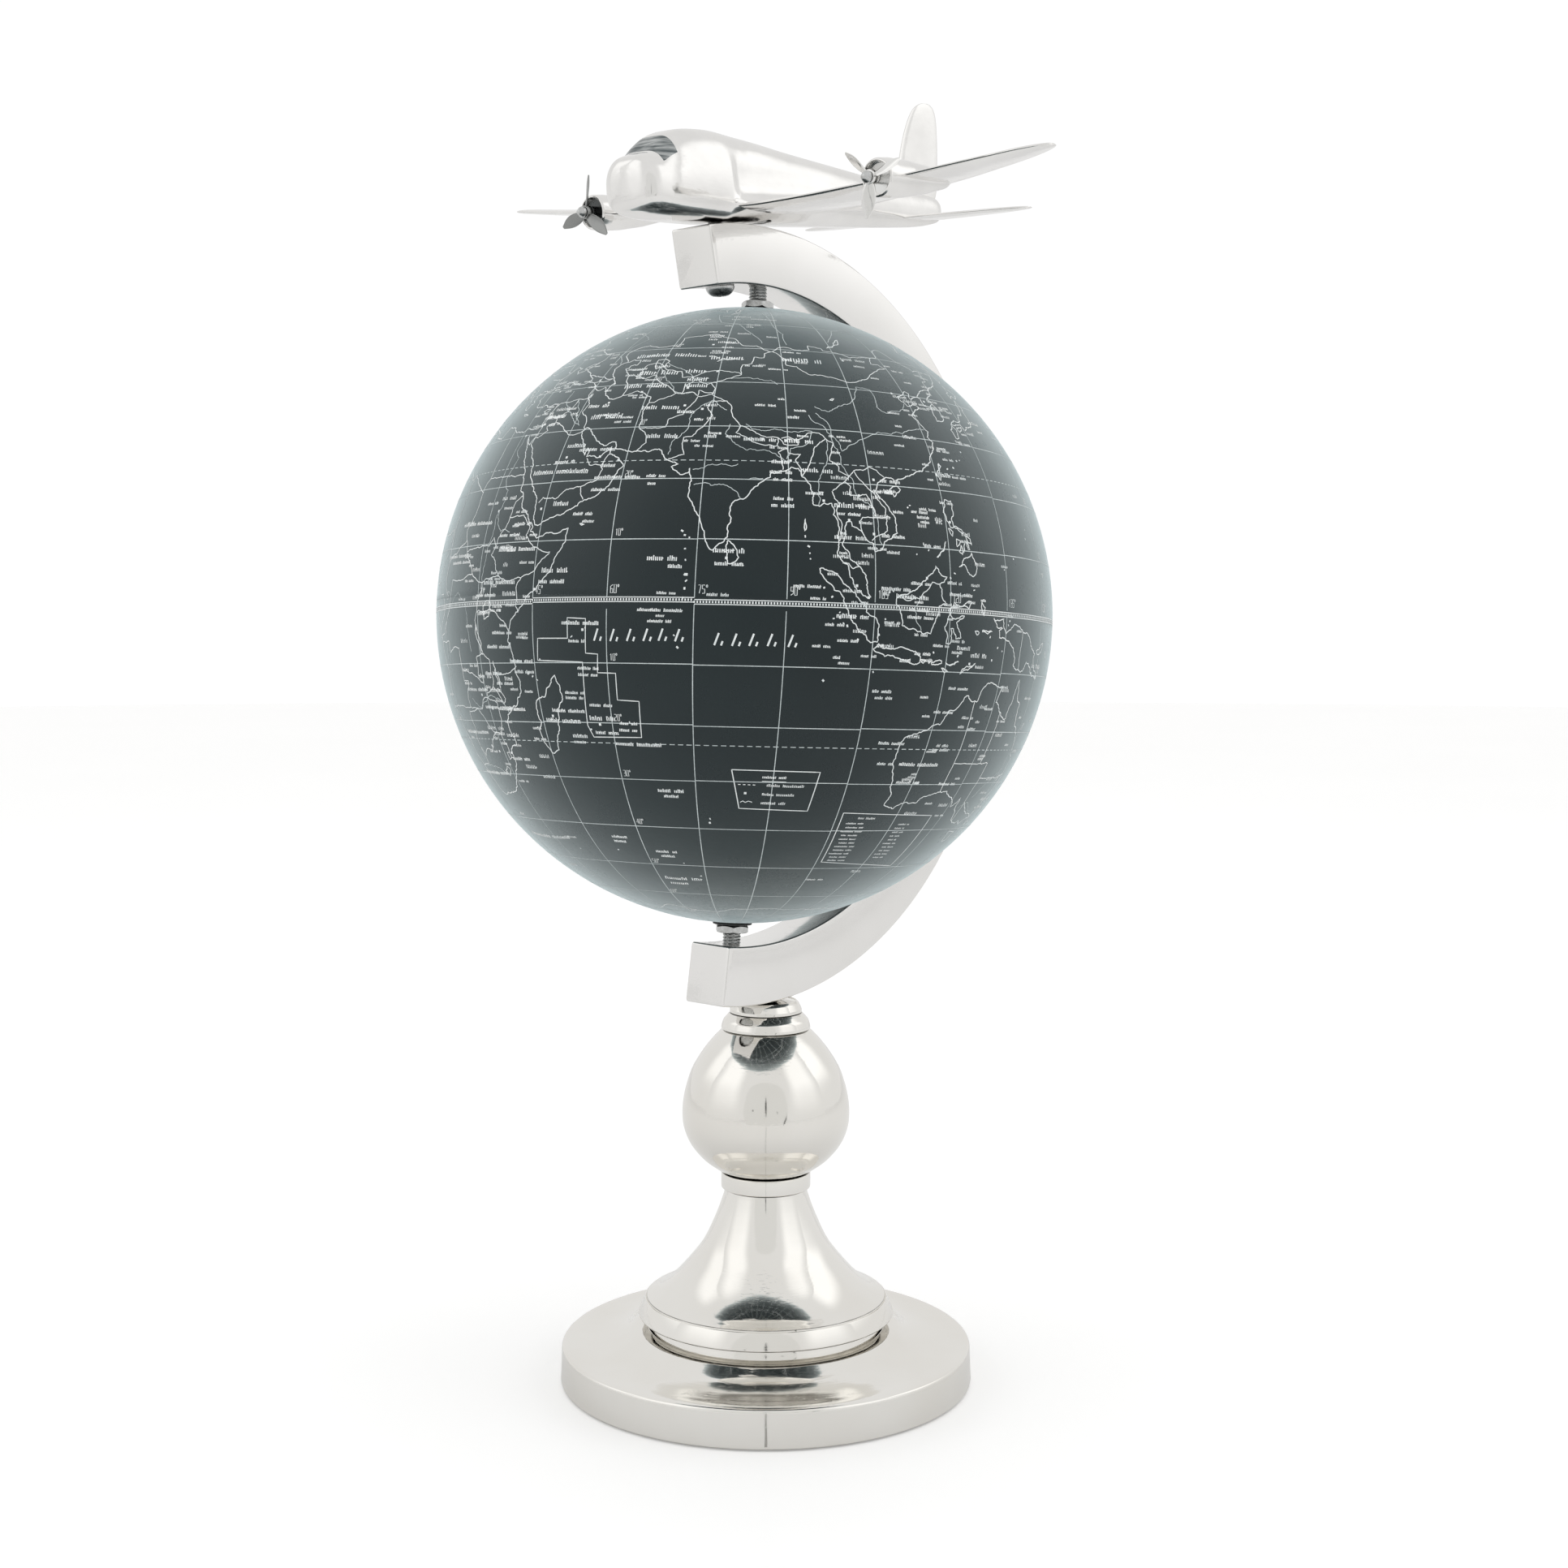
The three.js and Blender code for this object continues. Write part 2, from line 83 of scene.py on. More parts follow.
# ------------------------------------------------------------------ materials
class Paint:
    """Small helper around a node tree with one Principled shader."""

    def __init__(self, name, color, metallic=0.0, rough=0.4, ior=1.5):
        self.m = bpy.data.materials.new(name)
        self.m.use_nodes = True
        self.t = self.m.node_tree
        self.t.nodes.clear()
        self.out = self.t.nodes.new("ShaderNodeOutputMaterial")
        self.b = self.t.nodes.new("ShaderNodeBsdfPrincipled")
        self.t.links.new(self.b.outputs[0], self.out.inputs[0])
        self.b.inputs["Base Color"].default_value = (*color, 1)
        self.b.inputs["Metallic"].default_value = metallic
        self.b.inputs["Roughness"].default_value = rough
        self.b.inputs["IOR"].default_value = ior
        self.m.diffuse_color = (*color, 1)
        tc = self.t.nodes.new("ShaderNodeTexCoord")
        self.co = tc.outputs["Object"]
        self.last_bump = None

    def node(self, kind, **kw):
        n = self.t.nodes.new(kind)
        for k, v in kw.items():
            setattr(n, k, v)
        return n

    def link(self, a, b):
        self.t.links.new(a, b)

    def math(self, op, a, b=None, c=None, clamp=False):
        n = self.node("ShaderNodeMath", operation=op, use_clamp=clamp)
        for i, v in enumerate((a, b, c)):
            if v is None:
                continue
            if isinstance(v, (int, float)):
                n.inputs[i].default_value = v
            else:
                self.link(v, n.inputs[i])
        return n.outputs[0]

    def scaled(self, x, y, z, source=None):
        n = self.node("ShaderNodeVectorMath", operation="MULTIPLY")
        self.link(source or self.co, n.inputs[0])
        n.inputs[1].default_value = (x, y, z)
        return n.outputs[0]

    def noise(self, scale, detail=3.0, rough=0.5, vector=None, distortion=0.0):
        n = self.node("ShaderNodeTexNoise")
        n.inputs["Scale"].default_value = scale
        n.inputs["Detail"].default_value = detail
        n.inputs["Roughness"].default_value = rough
        n.inputs["Distortion"].default_value = distortion
        self.link(vector or self.co, n.inputs["Vector"])
        return n.outputs[0]

    def ramp(self, fac, a, b, lo=0.0, hi=1.0):
        n = self.node("ShaderNodeMapRange")
        n.inputs["From Min"].default_value = a
        n.inputs["From Max"].default_value = b
        n.inputs["To Min"].default_value = lo
        n.inputs["To Max"].default_value = hi
        self.link(fac, n.inputs["Value"])
        return n.outputs[0]

    def mix(self, fac, a, b):
        n = self.node("ShaderNodeMix", data_type="RGBA")
        if isinstance(fac, (int, float)):
            n.inputs[0].default_value = fac
        else:
            self.link(fac, n.inputs[0])
        for i, v in ((6, a), (7, b)):
            if isinstance(v, tuple):
                n.inputs[i].default_value = (*v, 1)
            else:
                self.link(v, n.inputs[i])
        return n.outputs[2]

    def bump(self, height, distance, strength=1.0):
        n = self.node("ShaderNodeBump")
        n.inputs["Strength"].default_value = strength
        n.inputs["Distance"].default_value = distance
        self.link(height, n.inputs["Height"])
        if self.last_bump is not None:
            self.link(self.last_bump, n.inputs["Normal"])
        self.last_bump = n.outputs[0]
        self.link(n.outputs[0], self.b.inputs["Normal"])

    def set(self, name, socket):
        self.link(socket, self.b.inputs[name])

    def rings(self, centre=(0, 0, 0), plane="xy"):
        """Coordinate that is constant round an axis: (distance from it, 0, height)."""
        sub = self.node("ShaderNodeVectorMath", operation="SUBTRACT")
        self.link(self.co, sub.inputs[0])
        sub.inputs[1].default_value = centre
        sep = self.node("ShaderNodeSeparateXYZ")
        self.link(sub.outputs[0], sep.inputs[0])
        a, b, c = {"xy": (0, 1, 2), "xz": (0, 2, 1)}[plane]
        r2 = self.math("ADD", self.math("MULTIPLY", sep.outputs[a], sep.outputs[a]), self.math("MULTIPLY", sep.outputs[b], sep.outputs[b]))
        r = self.math("SQRT", r2)
        com = self.node("ShaderNodeCombineXYZ")
        self.link(r, com.inputs[0])
        self.link(sep.outputs[c], com.inputs[2])
        return com.outputs[0]


def smudges(p, lo, hi, scale=38.0):
    """Roughness that changes like handled, polished metal."""
    a = p.noise(scale, 4, 0.6)
    b = p.noise(scale * 5.3, 2, 0.5)
    s = p.math("MULTIPLY_ADD", b, 0.35, p.math("MULTIPLY", a, 0.65))
    return p.ramp(s, 0.34, 0.68, lo, hi)


def hairlines(p, vector, strength, distance=0.000006):
    """Short fine polishing scratches along one direction of vector."""
    n = p.noise(1.0, 2, 0.4, vector)
    h = p.ramp(n, 0.60, 0.66, 0.0, 1.0)
    p.bump(h, distance, strength)
    return h


def metal_turned(name, color=(0.865, 0.85, 0.815), lo=0.045, hi=0.10):
    p = Paint(name, color, 1.0, 0.08)
    ring = p.rings()
    fine = p.noise(2600, 2, 0.6, ring)
    wide = p.noise(330, 2, 0.5, ring)
    tone = p.noise(24, 3, 0.55)
    warm = tuple(c * k for c, k in zip(color, (0.955, 0.945, 0.93)))
    metal = p.mix(p.ramp(tone, 0.35, 0.7), color, warm)
    sep = p.node("ShaderNodeSeparateXYZ")
    p.link(ring, sep.inputs[0])
    # thin dark rings at the joints between the turned parts (dark seams), later joined by painted shade under the
    # bell's rim
    seam_dirt_and_shade = None
    for z, half in ((21.45, 0.3), (27.25, 0.16), (62.55, 0.2), (67.75, 0.22), (114.95, 0.25), (120.25, 0.25)):
        d = p.math("ABSOLUTE", p.math("SUBTRACT", sep.outputs[2], z / 1000))
        d = p.ramp(d, half / 1000, half / 3000)
        seam_dirt_and_shade = d if seam_dirt_and_shade is None else p.math("MAXIMUM", seam_dirt_and_shade, d)
    # painted shade: a darker band round 39 mm radius, 15 to 18.4 mm up, on the step wall under the bell's overhanging
    # rim
    low = p.math("MULTIPLY", p.ramp(p.math("ABSOLUTE", p.math("SUBTRACT", sep.outputs[0], 0.0390)), 0.0006, 0.0002), p.ramp(sep.outputs[2], 0.0184, 0.0190, 1.0, 0.0))
    low = p.math("MULTIPLY", low, p.ramp(sep.outputs[2], 0.0150, 0.0155))
    seam_dirt_and_shade = p.math("MAXIMUM", seam_dirt_and_shade, p.math("MULTIPLY", low, 0.3))
    patchy = p.ramp(p.noise(150, 3, 0.6), 0.3, 0.6, 0.5, 0.95)
    seam_dirt_and_shade = p.math("MULTIPLY", seam_dirt_and_shade, patchy)
    # darken the seams and paint the under-rim shade, towards a near-black warm grey
    p.set("Base Color", p.mix(seam_dirt_and_shade, metal, (0.14, 0.135, 0.12)))
    h = hairlines(p, p.scaled(420, 420, 2600), 0.5)
    r = p.math("ADD", smudges(p, lo, hi), p.math("MULTIPLY", h, 0.05))
    p.set("Roughness", r)
    p.bump(fine, 0.0000035, 1.0)
    p.bump(wide, 0.000018, 1.0)
    p.bump(p.noise(55, 2, 0.5), 0.00011, 1.0)
    return p.m


def metal_arm(name):
    color = (0.865, 0.855, 0.84)
    p = Paint(name, color, 1.0, 0.08)
    ring = p.rings((GLOBE_X / 1000, 0, GLOBE_Z / 1000), "xz")
    fine = p.noise(1900, 2, 0.6, ring)
    tone = p.noise(20, 3, 0.55)
    p.set("Base Color", p.mix(p.ramp(tone, 0.35, 0.7), color, (0.82, 0.81, 0.79)))
    h = hairlines(p, p.scaled(1500, 500, 1500), 0.5)
    p.set("Roughness", p.math("ADD", smudges(p, 0.06, 0.12), p.math("MULTIPLY", h, 0.06)))
    p.bump(fine, 0.000006, 1.0)
    p.bump(p.noise(46, 2, 0.5), 0.00009, 1.0)
    return p.m


def metal_cast(name, color=(0.865, 0.855, 0.84), lo=0.07, hi=0.15, wave=0.00016):
    p = Paint(name, color, 1.0, 0.1)
    tone = p.noise(60, 4, 0.6)
    p.set("Base Color", p.mix(p.ramp(tone, 0.4, 0.72), color, tuple(c * 0.93 for c in color)))
    h = hairlines(p, p.scaled(240, 1900, 1900), 0.5)
    g = p.noise(900, 2, 0.5)
    p.set("Roughness", p.math("ADD", smudges(p, lo, hi, 70), p.math("MULTIPLY", h, 0.06)))
    p.bump(p.noise(95, 2, 0.5), wave, 1.0)
    p.bump(g, 0.000008, 1.0)
    return p.m


def metal_zinc(name, color=(0.62, 0.63, 0.63)):
    p = Paint(name, color, 1.0, 0.28)
    g = p.noise(700, 3, 0.6)
    p.set("Base Color", p.mix(p.ramp(g, 0.35, 0.7), color, (0.47, 0.47, 0.46)))
    p.set("Roughness", p.ramp(p.noise(260, 3, 0.6), 0.3, 0.7, 0.18, 0.38))
    p.bump(g, 0.000012, 1.0)
    return p.m


def dark_glaze(name):
    """Dark metal painted on the windscreen slope as the shade under the cabin roof's brow, with streaks along the brow.
    """
    p = Paint(name, (0.2, 0.22, 0.225), 1.0, 0.12)
    st = p.noise(1.0, 3, 0.55, p.scaled(90, 110, 900))
    p.set("Base Color", p.mix(p.ramp(st, 0.38, 0.64), (0.11, 0.13, 0.135), (0.5, 0.52, 0.52)))
    p.set("Roughness", smudges(p, 0.1, 0.22, 80))
    p.bump(st, 0.00003, 1.0)
    return p.m


def slate(name):
    """Printed dark paper under a satin varnish."""
    a = (0.0022, 0.0085, 0.0105)
    b = (0.0042, 0.0125, 0.0150)
    p = Paint(name, a, 0.0, 0.3, 1.5)
    p.b.inputs["Specular IOR Level"].default_value = 0.3
    p.b.inputs["Sheen Weight"].default_value = 1.0
    p.b.inputs["Sheen Roughness"].default_value = 0.43
    p.b.inputs["Sheen Tint"].default_value = (0.80, 0.95, 0.98, 1)
    cloud = p.noise(16, 4, 0.6)
    fibre = p.noise(1.0, 2, 0.6, p.scaled(2600, 2600, 900))
    base = p.mix(p.ramp(cloud, 0.32, 0.7), a, b)
    p.set("Base Color", p.mix(p.ramp(fibre, 0.55, 0.8, 0, 0.25), base, (0.016, 0.026, 0.029)))
    p.set("Roughness", p.math("ADD", smudges(p, 0.25, 0.33, 30), p.ramp(fibre, 0.5, 0.8, 0, 0.05)))
    p.bump(p.noise(420, 3, 0.55), 0.000022, 1.0)
    p.bump(p.noise(38, 2, 0.5), 0.00012, 1.0)
    return p.m


def ink(name, light=(0.93, 0.96, 0.96), dark=(0.72, 0.78, 0.79)):
    p = Paint(name, light, 0.0, 0.42)
    n = p.noise(900, 3, 0.6)
    w = p.noise(60, 2, 0.5)
    f = p.math("MULTIPLY_ADD", w, 0.5, p.math("MULTIPLY", n, 0.5))
    p.set("Base Color", p.mix(p.ramp(f, 0.36, 0.62), light, dark))
    p.set("Roughness", p.ramp(n, 0.3, 0.7, 0.34, 0.5))
    return p.m


def nylon(name):
    p = Paint(name, (0.02, 0.021, 0.022), 0.0, 0.45)
    n = p.noise(800, 3, 0.6)
    p.set("Base Color", p.mix(p.ramp(n, 0.35, 0.7), (0.016, 0.017, 0.018), (0.034, 0.035, 0.036)))
    p.set("Roughness", p.ramp(n, 0.3, 0.7, 0.36, 0.55))
    p.bump(n, 0.00002, 1.0)
    return p.m


def felt(name):
    p = Paint(name, (0.02, 0.022, 0.02), 0.0, 0.95)
    n = p.noise(1500, 4, 0.7)
    w = p.noise(160, 3, 0.6)
    p.set("Base Color", p.mix(p.ramp(n, 0.3, 0.7), (0.012, 0.013, 0.012), (0.05, 0.053, 0.05)))
    p.set("Roughness", p.ramp(w, 0.3, 0.7, 0.85, 1.0))
    p.bump(n, 0.0004, 1.0)
    p.b.inputs["Sheen Weight"].default_value = 0.3
    return p.m


def floor_paint(name, v=0.93):
    p = Paint(name, (v, v, v), 0.0, 0.6)
    n = p.noise(3.0, 2, 0.5)
    p.set("Base Color", p.mix(p.ramp(n, 0.3, 0.7), (v, v, v), (v - 0.012, v - 0.012, v - 0.012)))
    return p


M_STAND = metal_turned("polished_turned")
M_ARM = metal_arm("polished_bar")
M_PLANE = metal_cast("polished_casting")
# cowl hollows and propeller blades are lit and shaded copies of one metal: dark for painted shade on the starboard
# engine, bright for painted light on the port one
M_COWL_PAINTED_LIGHT_AND_SHADE = {"starboard": metal_cast("cowl_painted_shade", (0.10, 0.105, 0.105), 0.2, 0.4, 0.0002), "port": metal_cast("cowl_painted_light", (0.8, 0.8, 0.79), 0.15, 0.3, 0.0002)}
M_PROP_PAINTED_LIGHT_AND_SHADE = {"starboard": metal_cast("blades_painted_shade", (0.30, 0.305, 0.30), 0.12, 0.24, 0.0001), "port": metal_cast("blades_painted_light", (0.84, 0.835, 0.82), 0.08, 0.16, 0.0001)}
# the windscreen's dark metal is painted shade
M_WINDSCREEN_SHADE = dark_glaze("windscreen")
M_ZINC = metal_zinc("zinc")
M_MAP = slate("map_print")
M_INK = ink("map_ink")
M_INK_SOFT = ink("map_ink_soft", (0.70, 0.77, 0.78), (0.44, 0.50, 0.51))
M_NYLON = nylon("nylon")
M_FELT = felt("felt")


# ------------------------------------------------------------------ mesh building
def build(name, verts, faces, mats, body, nodes=(), slot=None, matrix=None, angle=32, smooth=True, mat_ids=None, local=False):
    """Mesh object from millimetre data, in the part's frame, riding on a body."""
    me = bpy.data.meshes.new(name)
    v = np.asarray(verts, float) * 0.001
    me.from_pydata(v.tolist(), [], faces)
    if mat_ids is not None:
        me.polygons.foreach_set("material_index", mat_ids)
    me.update()
    if smooth:
        me.polygons.foreach_set("use_smooth", [True] * len(me.polygons))
        me.update()
        if angle:
            me.set_sharp_from_angle(angle=rad(angle))
    ob = bpy.data.objects.new(name, me)
    bpy.context.scene.collection.objects.link(ob)
    for m in mats if isinstance(mats, (list, tuple)) else [mats]:
        me.materials.append(m)
    if matrix is not None:
        mm = matrix.copy()
        mm.translation *= 0.001
        if local:
            ob.matrix_world = mm
        else:
            me.transform(mm)
    if body:
        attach(ob, body)
    if nodes:
        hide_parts(*nodes)
    return ob


def fillets(points, steps=5):
    """Polyline with rounded corners. Points are (r, z) or (r, z, radius)."""
    out = []
    n = len(points)
    for i, p in enumerate(points):
        r = p[2] if len(p) > 2 else 0
        a, c = np.array(p[:2], float), None
        if r <= 0:
            out.append(tuple(a))
            continue
        u = np.array(points[(i - 1) % n][:2], float) - a
        w = np.array(points[(i + 1) % n][:2], float) - a
        lu, lw = np.linalg.norm(u), np.linalg.norm(w)
        u, w = u / lu, w / lw
        half = math.acos(max(-1, min(1, float(u @ w)))) / 2
        d = min(r / math.tan(half), lu * 0.49, lw * 0.49)
        rr = d * math.tan(half)
        mid = (u + w) / np.linalg.norm(u + w)
        centre = a + mid * rr / math.sin(half)
        s, e = a + u * d - centre, a + w * d - centre
        a0, a1 = math.atan2(s[1], s[0]), math.atan2(e[1], e[0])
        da = (a1 - a0 + math.pi) % (2 * math.pi) - math.pi
        for k in range(steps + 1):
            t = a0 + da * k / steps
            out.append((centre[0] + rr * math.cos(t), centre[1] + rr * math.sin(t)))
    return out


def spline(points, per=6):
    """Centripetal-like Catmull-Rom through points of any dimension."""
    p = np.array(points, float)
    p = np.vstack([2 * p[0] - p[1], p, 2 * p[-1] - p[-2]])
    out = []
    for i in range(1, len(p) - 2):
        for k in range(per):
            t = k / per
            out.append(
                0.5 * ((2 * p[i]) + (-p[i - 1] + p[i + 1]) * t + (2 * p[i - 1] - 5 * p[i] + 4 * p[i + 1] - p[i + 2]) * t * t + (-p[i - 1] + 3 * p[i] - 3 * p[i + 1] + p[i + 2]) * t ** 3)
            )
    out.append(p[-2])
    return [tuple(q) for q in out]


def lathe(profile, seg=160, closed=False, mat_of=None):
    """Vertices and faces turned about Z from (r, z) pairs, outside on the left of travel up."""
    verts, rows, faces, ids = [], [], [], []
    for r, z in profile:
        if r < 1e-6:
            rows.append([len(verts)])
            verts.append((0, 0, z))
        else:
            rows.append(list(range(len(verts), len(verts) + seg)))
            for i in range(seg):
                t = 2 * math.pi * i / seg
                verts.append((r * math.cos(t), r * math.sin(t), z))
    pairs = list(zip(range(len(rows) - 1), range(1, len(rows))))
    if closed:
        pairs.append((len(rows) - 1, 0))
    for k, (i, j) in enumerate(pairs):
        a, b = rows[i], rows[j]
        for s in range(seg):
            t = (s + 1) % seg
            if len(a) == 1 and len(b) == 1:
                continue
            if len(a) == 1:
                faces.append((a[0], b[t], b[s]))
            elif len(b) == 1:
                faces.append((a[s], a[t], b[0]))
            else:
                faces.append((a[s], a[t], b[t], b[s]))
            ids.append(mat_of(k) if mat_of else 0)
    return verts, faces, ids


def outward(ob):
    bm = bmesh.new()
    bm.from_mesh(ob.data)
    bmesh.ops.recalc_face_normals(bm, faces=bm.faces)
    bm.to_mesh(ob.data)
    bm.free()


def turned(name, profile, mat, body, nodes, slot, seg=160, closed=True, matrix=None, angle=28):
    v, f, _ = lathe(profile, seg, closed)
    ob = build(name, v, f, mat, body, nodes, slot, matrix, angle=None)
    outward(ob)
    ob.data.polygons.foreach_set("use_smooth", [True] * len(ob.data.polygons))
    ob.data.set_sharp_from_angle(angle=rad(angle))
    return ob


def cut(ob, cutter):
    """Boolean difference, applied."""
    m = ob.modifiers.new("cut", "BOOLEAN")
    m.operation = "DIFFERENCE"
    m.solver = "EXACT"
    m.object = cutter
    dg = bpy.context.evaluated_depsgraph_get()
    me = bpy.data.meshes.new_from_object(ob.evaluated_get(dg))
    ob.modifiers.clear()
    old = ob.data
    ob.data = me
    bpy.data.meshes.remove(old)
    bpy.data.objects.remove(cutter)
    ob.data.polygons.foreach_set("use_smooth", [True] * len(ob.data.polygons))
    ob.data.set_sharp_from_angle(angle=rad(28))


def hexagon(af, z0, z1, hole, seg=96, chamfer=True):
    """Nut: a chamfered hexagon with a bore, one closed skin."""
    rows = []
    rc = af / 2 * 0.965
    for kind in ("b0", "c0", "s0", "s1", "c1", "b1"):
        row = []
        for i in range(seg):
            t = 2 * math.pi * i / seg
            m = (t % (math.pi / 3)) - math.pi / 6
            rh = af / 2 / math.cos(m)
            drop = max(0.0, rh - rc) * math.tan(rad(28)) if chamfer else 0
            r, z = {
                "b0": (hole, z0), "c0": (rc, z0), "s0": (rh, z0 + drop),
                "s1": (rh, z1 - drop), "c1": (rc, z1), "b1": (hole, z1),
            }[kind]
            row.append((r * math.cos(t), r * math.sin(t), z))
        rows.append(row)
    verts = [p for row in rows for p in row]
    faces = []
    n = len(rows)
    for k in range(n):
        a, b = k * seg, ((k + 1) % n) * seg
        for i in range(seg):
            j = (i + 1) % seg
            faces.append((a + i, a + j, b + j, b + i))
    return verts, faces


def thread(r, z0, z1, pitch=1.0, depth=0.36, seg=64, per=10):
    """Screw-threaded cylinder: the radius follows the helix."""
    n = max(2, int((z1 - z0) / pitch * per))
    verts = []
    for k in range(n + 1):
        z = z0 + (z1 - z0) * k / n
        for i in range(seg):
            ph = (z / pitch - i / seg) % 1.0
            tri = abs(2 * ph - 1)
            h = min(1.0, max(0.0, (tri - 0.12) / 0.7))
            rr = r - depth * h
            t = 2 * math.pi * i / seg
            verts.append((rr * math.cos(t), rr * math.sin(t), z))
    faces = []
    for k in range(n):
        for i in range(seg):
            j = (i + 1) % seg
            faces.append((k * seg + i, k * seg + j, (k + 1) * seg + j, (k + 1) * seg + i))
    faces.append(tuple(range(seg))[::-1])
    faces.append(tuple(n * seg + i for i in range(seg)))
    return verts, faces


def join(parts):
    """Concatenates (verts, faces) lists."""
    v, f = [], []
    for pv, pf in parts:
        o = len(v)
        v.extend(pv)
        f.extend(tuple(o + i for i in face) for face in pf)
    return v, f


def placed(part, matrix):
    v, f = part
    m = np.array(matrix)
    a = np.asarray(v, float) @ m[:3, :3].T + m[:3, 3]
    return a.tolist(), f


SEG = 192

